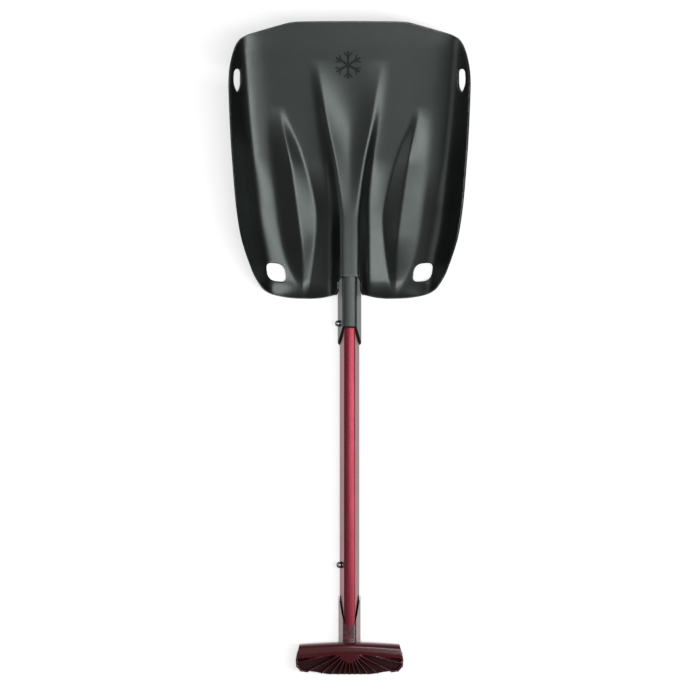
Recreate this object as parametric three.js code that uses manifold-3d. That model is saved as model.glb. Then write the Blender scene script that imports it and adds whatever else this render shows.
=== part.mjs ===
// Compact two-stage avalanche shovel, lying on its back with the hollow of the blade up.
// Millimetres. +Y runs along the shaft to the blade's tip, +X to the right, +Z out of the blade's hollow.
// The origin is under the middle of the whole shovel, on the surface that it lies on.
import * as THREE from "three";
import { mergeVertices } from "three/addons/utils/BufferGeometryUtils.js";
import Module from "manifold-3d";

const wasm = await Module();
wasm.setup();

// ---- driving dimensions ----
const TIP_Y = 346.9; // blade's tip, and as far the other way the grip's end
const BLADE_LENGTH = 292.6;
const REAR_Y = TIP_Y - BLADE_LENGTH; // the blade's rear edge; "station" counts from here to the tip
const SHEET = 2; // blade sheet
const FLOOR_RISE = 50; // how far the blade's floor climbs from heel to tip
const HEEL = 18; // station of the lowest line of the floor
const HEEL_FRONT = 0.95; // front surface of the floor there, between the bends' rounding
const LIP_RISE = 2.5; // upward curl of the rear lip
const RIDGE_TOP = 27; // front of the ridge that the socket lies in
const RIDGE_END = 87; // station where the ridge opens into two arms
const ARM_END = 252; // station where the arms fade out
const WING_SLOPE = 1.73; // side wings, about 60 degrees
const RIB_RISE = 7.5; // two low ribs beside the ridge, over the floor
const RIB_START = -4; // stations between which the ribs rise and fall
const RIB_FULL = 70;
const RIB_FADE = 140;
const RIB_END = 205;
const FOOT_RISE = 4.5; // where the ridge's flanks and the wings meet the floor
const WING_FOOT_TIP_RISE = 0.8;
const BEND_RADII = [4, 1.6, 3, 3, 3.5, 4, 3.5]; // roundness of the creases, from the middle outward
const SHEET_COLUMNS = 42; // columns and rows of the pressed sheet's facets
const SHEET_ROWS = 26;
const ROW_CROWDING = 0.05; // rows stand closer together at the two ends
const REST_GAP = 0.06; // the sheet's back stays this far over the surface that it lies on
const SHEET_MARGIN = 4; // the sheet is pressed oversize, then trimmed to its outline

const SHAFT_BACK_HALF = 10.9; // shaft section: a trapezoid with its narrow face in front
const SHAFT_FRONT_HALF = 5.7;
const SHAFT_BACK_Z = 2.6;
const SHAFT_FRONT_Z = 22.6;
const SHAFT_CORNER = 1.6; // outer corner radius
const SHAFT_WALL = 1.3;
const SHAFT_LOW_Y = -325;
const SHAFT_HIGH_Y = 69.5;

const SOCKET_OUTSIDE = 2.1; // offset of the socket's outside from the shaft's outside
const SOCKET_WALL = 1.2;
const SOCKET_HIGH_Y = REAR_Y + 85;
const MOUTH_FRONT_Y = 24.5; // the socket's slanted mouth, at its front and at its back
const MOUTH_BACK_Y = 4;
const BUSH_PROUD = 1.5; // how far the bush's rim stands out of the mouth
const BUSH_INSIDE = 0.2;
const BUSH_OUTSIDE = 0.7;
const BUSH_HIGH_Y = 62;
const GAP = 0.25; // between pieces that touch
const TURNED_SIDES = 20; // facets round a turned piece

const LOWER_BUTTON_Y = 27.5;
const UPPER_BUTTON_Y = -230;
const BUTTON_Z = 9.8;
const BUTTON_RADIUS = 3.4;
const BUTTON_HOLE_RADIUS = 3.8;
const LOWER_BUTTON_OUT = 6.5; // dome's tip over the shaft's side
const UPPER_BUTTON_OUT = 5;
const LEAF_WIDTH = 5;
const LEAF_THICK = 0.6;
const LEAF_LENGTH = 44;
const LEAF_SPREAD = 11; // between the two legs of a leaf spring

const RIVET_STATIONS = [42, 72]; // two flush rivets along the ridge
const RIVET_RADIUS = 2;
const RIVET_HEAD_RADIUS = 3.6;
const RIVET_HEAD_DEPTH = 1.5;

const GRIP_TOP_Y = -311.5;
const GRIP_END_Y = -TIP_Y;
const GRIP_THICK = 27;
const GRIP_TOP_HALF = 53.4;
const GRIP_WIDE_HALF = 57.3;
const NECK_OUTSIDE = 1.3;
const NECK_FRONT_Y = -294; // the neck sleeve's slanted mouth, at its front and at its back
const NECK_BACK_Y = -262;
const RIB_COUNT = 13;
const RIB_WIDTH = 1.8;
const RIB_HUB_Y = -320;
const GRIP_PIN_Y = -318;
const GRIP_PIN_RADIUS = 2;
const GRIP_PIN_LOW_Z = 0.6;
const GRIP_PIN_HIGH_Z = 23.6;

// Crease lines of the pressed blade, as [station, distance from the centre line].
const ARM_CREST = [[0, 9.5], [60, 9.5], [95, 9.6], [146, 16], [188, 24.4], [252, 35], [300, 42]];
const ARM_FOOT = [[0, 19], [60, 19], [103, 20.2], [146, 25.4], [188, 32.4], [252, 43], [300, 50]];
const INNER_VALLEY = [[0, 45], [10, 43.5], [56, 37.6], [88, 35.5], [114.5, 39.8], [157, 52.5],
  [196, 67], [300, 77]];
const RIB_CREST = [[0, 49.5], [51, 50.5], [104, 57], [146, 63], [200, 73.5], [300, 85]];
const OUTER_VALLEY = [[0, 52], [13, 55], [40, 66.8], [82, 75.6], [146, 82], [188, 87], [300, 98]];
const WING_FOOT = [[0, 84], [13, 86], [40, 90], [82, 97.5], [146, 103.9], [188, 108.1],
  [268, 114], [300, 117]];
const WING_EDGE = [[0, 76], [5.8, 85.3], [14.3, 95.3], [29.2, 103.6], [71.6, 116.4], [145.8, 124.1],
  [220, 127.6], [241, 126.7], [262.4, 122.1], [273, 116.3], [300, 112]];

// ---- small helpers ----
const clamp01 = (t) => Math.min(1, Math.max(0, t));
const ramp = (from, to, t) => {
  const u = clamp01((t - from) / (to - from));
  return u * u * (3 - 2 * u);
};
const mix = (a, b, t) => a + (b - a) * t;

// A smooth curve through [station, value] points, with each point's slope taken from its neighbours.
function along(points, s) {
  const last = points.length - 1;
  const next = points.findIndex((p) => p[0] > s);
  const i = Math.max(0, (next < 0 ? last : next) - 1);
  const slopeAt = (k) => {
    const a = points[Math.max(0, k - 1)];
    const b = points[Math.min(last, k + 1)];
    return (b[1] - a[1]) / (b[0] - a[0]);
  };
  const [p, q] = [points[i], points[i + 1]];
  const h = q[0] - p[0];
  const t = clamp01((s - p[0]) / h);
  const t2 = t * t;
  const t3 = t2 * t;
  return (2 * t3 - 3 * t2 + 1) * p[1] + (t3 - 2 * t2 + t) * h * slopeAt(i) +
    (3 * t2 - 2 * t3) * q[1] + (t3 - t2) * h * slopeAt(i + 1);
}

// Closed geometry to a manifold solid, and back.
function solid(geometry) {
  const bare = new THREE.BufferGeometry().setAttribute("position", geometry.getAttribute("position"));
  if (geometry.index) bare.setIndex(geometry.index);
  const merged = mergeVertices(bare, 1e-4);
  const mesh = { numProp: 3, vertProperties: merged.attributes.position.array,
    triVerts: new Uint32Array(merged.index.array) };
  return new wasm.Manifold(new wasm.Mesh(mesh));
}

function geometryOf(body) {
  const { vertProperties, triVerts, numProp } = body.getMesh();
  const corners = new Float32Array(triVerts.length * 3);
  triVerts.forEach((v, i) => corners.set(vertProperties.subarray(v * numProp, v * numProp + 3), i * 3));
  const geometry = new THREE.BufferGeometry();
  geometry.setAttribute("position", new THREE.BufferAttribute(corners, 3));
  geometry.computeVertexNormals();
  return geometry;
}

// An outline drawn in X and Y, extruded up from zLow to zHigh.
function uprightPrism(shape, zLow, zHigh, curveSegments = 12) {
  const settings = { depth: zHigh - zLow, bevelEnabled: false, curveSegments };
  const geometry = new THREE.ExtrudeGeometry(shape, settings);
  return geometry.translate(0, 0, zLow);
}

// An outline drawn in X and Z, extruded along Y.
function prismAlongY(shape, yLow, yHigh, curveSegments = 4) {
  const settings = { depth: yHigh - yLow, bevelEnabled: false, curveSegments };
  const geometry = new THREE.ExtrudeGeometry(shape, settings);
  return geometry.rotateX(Math.PI / 2).translate(0, yHigh, 0);
}

// An outline drawn in Y and Z, extruded along X.
function prismAlongX(shape, xLow, xHigh, curveSegments = 10) {
  const settings = { depth: xHigh - xLow, bevelEnabled: false, curveSegments };
  const geometry = new THREE.ExtrudeGeometry(shape, settings);
  return geometry.rotateZ(Math.PI / 2).rotateY(Math.PI / 2).translate(xLow, 0, 0);
}

function polygon(points) {
  return new THREE.Shape(points.map(([x, y]) => new THREE.Vector2(x, y)));
}

// ---- the shaft's trapezoid section ----
const FLANK = Math.atan((SHAFT_BACK_HALF - SHAFT_FRONT_HALF) / (SHAFT_FRONT_Z - SHAFT_BACK_Z));
const FLANK_COS = Math.cos(FLANK);
const FLANK_SIN = Math.sin(FLANK);
const FLANK_REACH = SHAFT_BACK_HALF * FLANK_COS + SHAFT_BACK_Z * FLANK_SIN;
const flankX = (z, offset = 0) => (FLANK_REACH + offset - z * FLANK_SIN) / FLANK_COS;

// The section's outline, moved outward by an offset, with its corner centres kept.
function tubeOutline(offset, path = new THREE.Shape()) {
  const radius = SHAFT_CORNER + offset;
  const backZ = SHAFT_BACK_Z + SHAFT_CORNER;
  const frontZ = SHAFT_FRONT_Z - SHAFT_CORNER;
  const backX = flankX(backZ, -SHAFT_CORNER);
  const frontX = flankX(frontZ, -SHAFT_CORNER);
  path.absarc(backX, backZ, radius, -Math.PI / 2, FLANK, false);
  path.absarc(frontX, frontZ, radius, FLANK, Math.PI / 2, false);
  path.absarc(-frontX, frontZ, radius, Math.PI / 2, Math.PI - FLANK, false);
  path.absarc(-backX, backZ, radius, Math.PI - FLANK, 1.5 * Math.PI, false);
  path.closePath();
  return path;
}

function tube(outside, inside, yLow, yHigh) {
  const outline = tubeOutline(outside);
  outline.holes.push(tubeOutline(inside, new THREE.Path()));
  return solid(prismAlongY(outline, yLow, yHigh));
}

// Everything on the +Y side of a slanted mouth that runs from backY at the back to frontY at the front.
function pastMouth(backY, frontY) {
  const farY = 600;
  const [zLow, zHigh] = [SHAFT_BACK_Z - SOCKET_OUTSIDE, SHAFT_FRONT_Z + SOCKET_OUTSIDE];
  const slope = (frontY - backY) / (zHigh - zLow);
  const reach = 20;
  const outline = polygon([
    [backY - slope * reach, zLow - reach],
    [farY, zLow - reach],
    [farY, zHigh + reach],
    [frontY + slope * reach, zHigh + reach],
  ]);
  return solid(prismAlongX(outline, -40, 40));
}

// Places a piece whose own +Z points out of the shaft's left side, at a station of the shaft.
function placeOnLeftSide(geometry, y) {
  const outward = new THREE.Vector3(-FLANK_COS, 0, FLANK_SIN);
  const up = new THREE.Vector3(FLANK_SIN, 0, FLANK_COS);
  const side = new THREE.Vector3().crossVectors(outward, up);
  const at = new THREE.Matrix4().makeBasis(up, side, outward);
  at.setPosition(-flankX(BUTTON_Z), y, BUTTON_Z);
  return geometry.applyMatrix4(at);
}

function buttonHole(y) {
  const drill = new THREE.CylinderGeometry(BUTTON_HOLE_RADIUS, BUTTON_HOLE_RADIUS, 12, TURNED_SIDES);
  return solid(placeOnLeftSide(drill.rotateX(Math.PI / 2), y));
}

// ---- blade ----
const floorAt = (s) => {
  const climb = Math.max(0, (s - HEEL) / (BLADE_LENGTH - HEEL));
  const curl = Math.max(0, (HEEL - s) / HEEL);
  return HEEL_FRONT + FLOOR_RISE * climb ** 1.25 + LIP_RISE * curl * curl;
};
const ARM_START_RISE = RIDGE_TOP - floorAt(RIDGE_END);

// The middle stays level with the ridge until the floor has climbed to it.
const middleAt = (s) => {
  const softness = 3;
  return floorAt(s) + softness * Math.log(1 + Math.exp((RIDGE_TOP - floorAt(s)) / softness));
};

// The ridge's edges, and past the ridge's end the crests of its two arms.
function crestAt(s) {
  if (s < RIDGE_END) return RIDGE_TOP;
  return floorAt(s) + ARM_START_RISE * clamp01((ARM_END - s) / (ARM_END - RIDGE_END)) ** 1.3;
}

// The blade's section at a station: [distance from the centre line, height] of each crease, then the edge.
function creases(s) {
  const floor = floorAt(s);
  const ribs = ramp(RIB_START, RIB_FULL, s) * (1 - ramp(RIB_FADE, RIB_END, s));
  const wingFoot = mix(FOOT_RISE, WING_FOOT_TIP_RISE, ramp(95, 150, s)) * ramp(0, HEEL, s);
  const wingFootZ = floor + wingFoot * (1 - ramp(255, 290, s));
  const wingX = along(WING_FOOT, s);
  const edgeX = Math.max(along(WING_EDGE, s), wingX + 2);
  const slope = WING_SLOPE * (1 - 0.5 * ramp(262, 290, s));
  return [
    [0, middleAt(s)],
    [along(ARM_CREST, s), crestAt(s)],
    [along(ARM_FOOT, s), floor + FOOT_RISE * (1 - ramp(95, 150, s))],
    [along(INNER_VALLEY, s), floor],
    [along(RIB_CREST, s), floor + RIB_RISE * ribs],
    [along(OUTER_VALLEY, s), floor],
    [wingX, wingFootZ],
    [edgeX, wingFootZ + slope * (edgeX - wingX)],
  ];
}

// The front surface: straight slopes between the creases, with a rounded bend at each crease.
function frontHeight(x, s) {
  const line = creases(s);
  const slopes = line.slice(1).map(([kx, kz], i) => (kz - line[i][1]) / (kx - line[i][0]));
  const across = Math.abs(x);
  let z = line[0][1] + slopes[0] * (Math.hypot(across, BEND_RADII[0]) - BEND_RADII[0]);
  for (let i = 1; i < slopes.length; i++) {
    const past = across - line[i][0];
    z += (slopes[i] - slopes[i - 1]) * (past + Math.hypot(past, BEND_RADII[i])) / 2;
  }
  return z;
}

function frontNormal(x, s) {
  const step = 0.4;
  const dx = (frontHeight(x + step, s) - frontHeight(x - step, s)) / (2 * step);
  const ds = (frontHeight(x, s + step) - frontHeight(x, s - step)) / (2 * step);
  return new THREE.Vector3(-dx, -ds, 1).normalize();
}

// Where the sheet's columns run: several to each slope, close together at the bends.
function columnX(index, s) {
  const [, arm, foot, inner, rib, outer, wing, rim] = creases(s).map(([kx]) => kx);
  const edge = rim + SHEET_MARGIN;
  const ridge = [0, arm / 2, arm - 1.3, arm + 0.6, mix(arm, foot, 0.5), foot - 1, foot + 1.6];
  const leaf = [mix(foot, inner, 0.6), inner, mix(inner, rib, 0.4), rib - 2, rib + 1.5];
  const dip = [mix(rib, outer, 0.5), outer - 1.5, outer + 2, mix(outer, wing, 0.5)];
  const shoulder = [...dip, wing - 2.5, wing, wing + 2.5];
  const stops = [...ridge, ...leaf, ...shoulder, mix(wing, edge, 0.4), mix(wing, edge, 0.7), edge];
  return Math.sign(index) * stops[Math.abs(index)];
}

function pressedSheet() {
  const half = SHEET_COLUMNS / 2;
  const geometry = new THREE.BoxGeometry(SHEET_COLUMNS, SHEET_ROWS, 2, SHEET_COLUMNS, SHEET_ROWS, 1);
  const place = geometry.getAttribute("position");
  for (let i = 0; i < place.count; i++) {
    const column = Math.round(place.getX(i));
    const even = Math.round(place.getY(i) + SHEET_ROWS / 2) / SHEET_ROWS;
    const t = even - ROW_CROWDING * Math.sin(2 * Math.PI * even);
    const s = mix(-SHEET_MARGIN, BLADE_LENGTH + SHEET_MARGIN, t);
    const x = columnX(Math.max(-half, Math.min(half, column)), s);
    const at = new THREE.Vector3(x, REAR_Y + s, frontHeight(x, s));
    if (place.getZ(i) < 0) at.addScaledVector(frontNormal(x, s), -SHEET);
    place.setXYZ(i, at.x, at.y, Math.max(at.z, REST_GAP));
  }
  return solid(geometry);
}

// The blade seen from the front, with the socket's cut-out in its rear edge.
function bladeOutline() {
  const right = [[15.5, 3.6], [30, 0.8], [47.7, 0], [70.5, 1.6], [85.3, 5.8], [95.3, 14.3], [103.6, 29.2],
    [116.4, 71.6], [124.1, 145.8], [127.6, 220], [126.7, 241], [122.1, 262.4], [116.3, 273]];
  const side = (sign, points) => points.map(([x, s]) => new THREE.Vector2(sign * x, REAR_Y + s));
  const outline = new THREE.Shape();
  outline.moveTo(12.7, REAR_Y + 8);
  outline.splineThru(side(1, right));
  outline.quadraticCurveTo(112, REAR_Y + 277.6, 104, REAR_Y + 280);
  outline.lineTo(70, REAR_Y + 289.6);
  outline.quadraticCurveTo(62, REAR_Y + 291.8, 50, REAR_Y + 292);
  outline.quadraticCurveTo(0, REAR_Y + BLADE_LENGTH + 0.6, -50, REAR_Y + 292);
  outline.quadraticCurveTo(-62, REAR_Y + 291.8, -70, REAR_Y + 289.6);
  outline.lineTo(-104, REAR_Y + 280);
  outline.quadraticCurveTo(-112, REAR_Y + 277.6, -116.3, REAR_Y + 273);
  outline.splineThru(side(-1, right.slice(0, -1).reverse()));
  outline.lineTo(-12.7, REAR_Y + 8);
  outline.lineTo(-12.7, REAR_Y + 17);
  outline.quadraticCurveTo(-12, REAR_Y + 21.5, -7, REAR_Y + 22.4);
  outline.quadraticCurveTo(0, REAR_Y + 23.2, 7, REAR_Y + 22.4);
  outline.quadraticCurveTo(12, REAR_Y + 21.5, 12.7, REAR_Y + 17);
  outline.closePath();
  return outline;
}

// A rounded hole, by its two sides, its two ends and its corner radius.
function holeOutline(xLow, xHigh, yLow, yHigh, radius) {
  const shape = new THREE.Shape();
  shape.absarc(xHigh - radius, yLow + radius, radius, -Math.PI / 2, 0, false);
  shape.absarc(xHigh - radius, yHigh - radius, radius, 0, Math.PI / 2, false);
  shape.absarc(xLow + radius, yHigh - radius, radius, Math.PI / 2, Math.PI, false);
  shape.absarc(xLow + radius, yLow + radius, radius, Math.PI, 1.5 * Math.PI, false);
  shape.closePath();
  return shape;
}

// Slots for a cord: two in the rear corners' floor and two in the wings near the tip, seen almost edge on.
const REAR_HOLE = { xLow: 67.5, xHigh: 87.5, yLow: REAR_Y + 17.5, yHigh: REAR_Y + 35.5, radius: 5.5 };
const TIP_HOLE = { xLow: 115, xHigh: 121.5, yLow: REAR_Y + 218, yHigh: REAR_Y + 240, radius: 3 };

function buildBlade() {
  let blade = pressedSheet().intersect(solid(uprightPrism(bladeOutline(), -20, 140, 5)));
  for (const hole of [REAR_HOLE, TIP_HOLE]) {
    for (const sign of [-1, 1]) {
      const [a, b] = [sign * hole.xLow, sign * hole.xHigh].sort((p, q) => p - q);
      const outline = holeOutline(a, b, hole.yLow, hole.yHigh, hole.radius);
      blade = blade.subtract(solid(uprightPrism(outline, -20, 140, 5)));
    }
  }
  for (const station of RIVET_STATIONS) blade = blade.subtract(rivetSeat(station));
  return blade;
}

// A turned piece that stands in the ridge, from a profile of [radius, height] points.
function turnedInRidge(profile, station) {
  const lathe = new THREE.LatheGeometry(profile.map(([r, z]) => new THREE.Vector2(r, z)), TURNED_SIDES);
  return solid(lathe.rotateX(Math.PI / 2).translate(0, REAR_Y + station, 0));
}

// A countersunk rivet, flush with the ridge's top, and the seat for it in the blade.
function buildRivet(station) {
  const top = RIDGE_TOP - 0.05;
  const foot = SHAFT_FRONT_Z + SOCKET_OUTSIDE - SOCKET_WALL - 0.35;
  const coneFoot = top - RIVET_HEAD_DEPTH;
  const shank = [[0, foot], [RIVET_RADIUS, foot], [RIVET_RADIUS, coneFoot]];
  return turnedInRidge([...shank, [RIVET_HEAD_RADIUS, top], [0, top]], station);
}

function rivetSeat(station) {
  const bore = RIVET_RADIUS + GAP;
  const mouth = RIVET_HEAD_RADIUS + GAP;
  const coneTop = RIDGE_TOP - 0.05;
  const coneFoot = coneTop - RIVET_HEAD_DEPTH;
  const underBlade = RIDGE_TOP - 7;
  const overBlade = RIDGE_TOP + 1;
  const shank = [[0, underBlade], [bore, underBlade], [bore, coneFoot]];
  return turnedInRidge([...shank, [mouth, coneTop], [mouth, overBlade], [0, overBlade]], station);
}

// ---- socket ----
function buildSocket() {
  let socket = tube(SOCKET_OUTSIDE, SOCKET_OUTSIDE - SOCKET_WALL, -30, SOCKET_HIGH_Y);
  socket = socket.intersect(pastMouth(MOUTH_BACK_Y, MOUTH_FRONT_Y)).subtract(buttonHole(LOWER_BUTTON_Y));
  for (const station of RIVET_STATIONS) {
    const drill = new THREE.CylinderGeometry(RIVET_RADIUS + GAP, RIVET_RADIUS + GAP, 10, TURNED_SIDES);
    socket = socket.subtract(solid(drill.rotateX(Math.PI / 2).translate(0, REAR_Y + station, RIDGE_TOP)));
  }
  return socket;
}

// A plastic sleeve inside the socket's mouth, with a rim that covers the mouth's edge.
function buildBush() {
  const proud = pastMouth(MOUTH_BACK_Y - BUSH_PROUD, MOUTH_FRONT_Y - BUSH_PROUD);
  const sleeve = tube(BUSH_OUTSIDE, BUSH_INSIDE, -30, BUSH_HIGH_Y).intersect(proud);
  const inside = pastMouth(MOUTH_BACK_Y - GAP, MOUTH_FRONT_Y - GAP);
  const rim = tube(SOCKET_OUTSIDE - 0.1, BUSH_INSIDE, -30, BUSH_HIGH_Y).intersect(proud).subtract(inside);
  return sleeve.add(rim).subtract(buttonHole(LOWER_BUTTON_Y));
}

// ---- shaft ----
function buildShaft() {
  const shaft = tube(0, -SHAFT_WALL, SHAFT_LOW_Y, SHAFT_HIGH_Y);
  return shaft
    .subtract(buttonHole(LOWER_BUTTON_Y))
    .subtract(buttonHole(UPPER_BUTTON_Y))
    .subtract(gripPinHole(GRIP_THICK));
}

function buildEndPlug() {
  const cap = solid(prismAlongY(tubeOutline(-0.2), SHAFT_HIGH_Y + GAP, SHAFT_HIGH_Y + 2.2));
  const spigot = solid(prismAlongY(tubeOutline(-SHAFT_WALL - 0.2), SHAFT_HIGH_Y - 9, SHAFT_HIGH_Y + 1));
  return cap.add(spigot);
}

// ---- snap buttons ----
// A stud through the shaft's left side, with a domed tip. Its own +Z points outward from the shaft's side.
function buildButton(y, out) {
  const foot = -SHAFT_WALL - GAP;
  const domeBase = out - BUTTON_RADIUS * 0.9;
  const points = [new THREE.Vector2(0, foot), new THREE.Vector2(BUTTON_RADIUS, foot)];
  const steps = 6;
  for (let i = 0; i <= steps; i++) {
    const angle = (i / steps) * (Math.PI / 2);
    const radius = i === steps ? 0 : BUTTON_RADIUS * Math.cos(angle);
    points.push(new THREE.Vector2(radius, domeBase + (out - domeBase) * Math.sin(angle)));
  }
  const lathe = new THREE.LatheGeometry(points, TURNED_SIDES);
  return solid(placeOnLeftSide(lathe.rotateX(Math.PI / 2), y));
}

// A hairpin leaf spring inside the shaft: one leg behind the button, the bend towards the grip.
function buildLeafSpring(y) {
  const near = SHAFT_WALL + 2 * GAP;
  const bend = LEAF_SPREAD / 2;
  const outline = new THREE.Shape();
  outline.moveTo(5, 0);
  outline.lineTo(-LEAF_LENGTH + bend, 0);
  outline.absarc(-LEAF_LENGTH + bend, bend, bend, 1.5 * Math.PI, Math.PI / 2, true);
  outline.lineTo(2, LEAF_SPREAD);
  outline.lineTo(2, LEAF_SPREAD - LEAF_THICK);
  outline.lineTo(-LEAF_LENGTH + bend, LEAF_SPREAD - LEAF_THICK);
  outline.absarc(-LEAF_LENGTH + bend, bend, bend - LEAF_THICK, Math.PI / 2, 1.5 * Math.PI, false);
  outline.lineTo(5, LEAF_THICK);
  outline.closePath();
  const settings = { depth: LEAF_WIDTH, bevelEnabled: false, curveSegments: 8 };
  const strip = new THREE.ExtrudeGeometry(outline, settings);
  // the outline's X runs along the shaft and its Y runs inward
  strip.translate(0, near, -LEAF_WIDTH / 2);
  const turn = new THREE.Matrix4().makeBasis(
    new THREE.Vector3(0, 1, 0),
    new THREE.Vector3(0, 0, -1),
    new THREE.Vector3(-1, 0, 0),
  );
  return solid(placeOnLeftSide(strip.applyMatrix4(turn), y));
}

// ---- grip ----
function gripOutline() {
  const outline = new THREE.Shape();
  outline.moveTo(-GRIP_TOP_HALF + 3, GRIP_TOP_Y - 2.6);
  outline.quadraticCurveTo(-GRIP_TOP_HALF, GRIP_TOP_Y - 2.9, -GRIP_TOP_HALF - 0.8, GRIP_TOP_Y - 6);
  outline.lineTo(-GRIP_WIDE_HALF, GRIP_END_Y + 12);
  outline.quadraticCurveTo(-GRIP_WIDE_HALF, GRIP_END_Y + 5.6, -GRIP_WIDE_HALF + 6, GRIP_END_Y + 4.8);
  outline.bezierCurveTo(-35, GRIP_END_Y + 3.6, -26, GRIP_END_Y, 0, GRIP_END_Y);
  outline.bezierCurveTo(26, GRIP_END_Y, 35, GRIP_END_Y + 3.6, GRIP_WIDE_HALF - 6, GRIP_END_Y + 4.8);
  outline.quadraticCurveTo(GRIP_WIDE_HALF, GRIP_END_Y + 5.6, GRIP_WIDE_HALF, GRIP_END_Y + 12);
  outline.lineTo(GRIP_TOP_HALF + 0.8, GRIP_TOP_Y - 6);
  outline.quadraticCurveTo(GRIP_TOP_HALF, GRIP_TOP_Y - 2.9, GRIP_TOP_HALF - 3, GRIP_TOP_Y - 2.6);
  outline.lineTo(14, GRIP_TOP_Y);
  outline.lineTo(-14, GRIP_TOP_Y);
  outline.closePath();
  return outline;
}

// The bar's section: a full round back of the fingers' side, with a thinner web towards the palm.
function barSection() {
  const section = new THREE.Shape();
  const corner = 9;
  const middle = GRIP_THICK / 2;
  const webHalf = 6.5;
  const barLow = GRIP_TOP_Y - 20;
  section.moveTo(GRIP_TOP_Y - corner, 0);
  section.absarc(GRIP_TOP_Y - corner, corner, corner, -Math.PI / 2, 0, false);
  section.absarc(GRIP_TOP_Y - corner, GRIP_THICK - corner, corner, 0, Math.PI / 2, false);
  section.lineTo(barLow + 5, GRIP_THICK);
  section.quadraticCurveTo(barLow, GRIP_THICK, barLow - 2, middle + webHalf);
  section.lineTo(GRIP_END_Y + 1.5, middle + webHalf);
  section.lineTo(GRIP_END_Y + 1.5, middle - webHalf);
  section.lineTo(barLow - 2, middle - webHalf);
  section.quadraticCurveTo(barLow, 0, barLow + 5, 0);
  section.closePath();
  return section;
}

// Ribs that fan out from the hub to the palm edge, on both faces of the web.
function fanRibs() {
  const ribHeight = GRIP_THICK - 2;
  const spread = THREE.MathUtils.degToRad(152);
  let ribs = null;
  for (let i = 0; i < RIB_COUNT; i++) {
    const angle = -Math.PI / 2 + spread * (i / (RIB_COUNT - 1) - 0.5);
    const length = 70;
    const blank = new THREE.BoxGeometry(length, RIB_WIDTH, ribHeight);
    blank.translate(length / 2 + 4, 0, GRIP_THICK / 2).rotateZ(angle).translate(0, RIB_HUB_Y, 0);
    ribs = ribs ? ribs.add(solid(blank)) : solid(blank);
  }
  return ribs;
}

function buildGrip() {
  const plan = solid(uprightPrism(gripOutline(), -1, GRIP_THICK + 1, 8));
  const bar = solid(prismAlongX(barSection(), -GRIP_WIDE_HALF - 2, GRIP_WIDE_HALF + 2, 6));
  const neckLength = solid(prismAlongY(tubeOutline(NECK_OUTSIDE), GRIP_TOP_Y - 10, NECK_BACK_Y + 5));
  const neck = neckLength.subtract(pastMouth(NECK_BACK_Y, NECK_FRONT_Y));
  const bore = solid(prismAlongY(tubeOutline(GAP), SHAFT_LOW_Y - GAP, NECK_BACK_Y + 10));
  return bar
    .add(fanRibs())
    .intersect(plan)
    .add(neck)
    .subtract(bore)
    .subtract(gripPinHole(GRIP_PIN_HIGH_Z + GAP));
}

// The hole for the grip's pin, open at the back.
function gripPinHole(topZ) {
  const radius = GRIP_PIN_RADIUS + GAP;
  const drill = new THREE.CylinderGeometry(radius, radius, topZ + 1, TURNED_SIDES);
  return solid(drill.rotateX(Math.PI / 2).translate(0, GRIP_PIN_Y, (topZ - 1) / 2));
}

// A slotted spring pin that holds the grip on the shaft, driven in from the back.
function buildGripPin() {
  const section = new THREE.Shape();
  const slot = 0.35;
  section.absarc(0, 0, GRIP_PIN_RADIUS, slot, 2 * Math.PI - slot, false);
  section.absarc(0, 0, GRIP_PIN_RADIUS - 0.6, 2 * Math.PI - slot, slot, true);
  section.closePath();
  const pin = uprightPrism(section, GRIP_PIN_LOW_Z, GRIP_PIN_HIGH_Z, TURNED_SIDES);
  return solid(pin.translate(0, GRIP_PIN_Y, 0));
}

// ---- finishes and assembly ----
function finish(color, roughness, metalness) {
  return new THREE.MeshStandardMaterial({ color, roughness, metalness });
}
const FINISHES = {
  bladeAnodise: finish(0x4e5450, 0.42, 0.85),
  shaftAnodise: finish(0xa01c2c, 0.3, 0.85),
  blackNylon: finish(0x141414, 0.5, 0),
  gripPlastic: finish(0x4a2226, 0.22, 0),
  chrome: finish(0xd6d8da, 0.1, 1),
  springSteel: finish(0x8e9092, 0.35, 1),
};

const shovel = new THREE.Group();
const bladeUnit = new THREE.Group();
const shaftUnit = new THREE.Group();
shovel.add(bladeUnit, shaftUnit);

function addPiece(group, name, body, material) {
  const piece = new THREE.Mesh(geometryOf(body), material);
  piece.name = name;
  group.add(piece);
}

addPiece(bladeUnit, "blade", buildBlade(), FINISHES.bladeAnodise);
addPiece(bladeUnit, "socket_tube", buildSocket(), FINISHES.bladeAnodise);
addPiece(bladeUnit, "socket_bush", buildBush(), FINISHES.blackNylon);
RIVET_STATIONS.forEach((station, i) => {
  addPiece(bladeUnit, `socket_rivet_${i + 1}`, buildRivet(station), FINISHES.bladeAnodise);
});
addPiece(shaftUnit, "shaft_tube", buildShaft(), FINISHES.shaftAnodise);
addPiece(shaftUnit, "shaft_end_plug", buildEndPlug(), FINISHES.blackNylon);
addPiece(shaftUnit, "lower_lock_button", buildButton(LOWER_BUTTON_Y, LOWER_BUTTON_OUT), FINISHES.chrome);
addPiece(shaftUnit, "lower_lock_spring", buildLeafSpring(LOWER_BUTTON_Y), FINISHES.springSteel);
addPiece(shaftUnit, "upper_lock_button", buildButton(UPPER_BUTTON_Y, UPPER_BUTTON_OUT), FINISHES.chrome);
addPiece(shaftUnit, "upper_lock_spring", buildLeafSpring(UPPER_BUTTON_Y), FINISHES.springSteel);
addPiece(shaftUnit, "grip_body", buildGrip(), FINISHES.gripPlastic);
addPiece(shaftUnit, "grip_pin", buildGripPin(), FINISHES.springSteel);

export default shovel;
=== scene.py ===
"""A compact avalanche shovel with a two-place shaft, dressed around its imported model.

Lengths inside the classes are millimetres in the model's own frame: +Y runs along the shaft to the
blade's tip, +X to the right and +Z out of the blade's hollow. Meshes are written in metres.
"""

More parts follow.
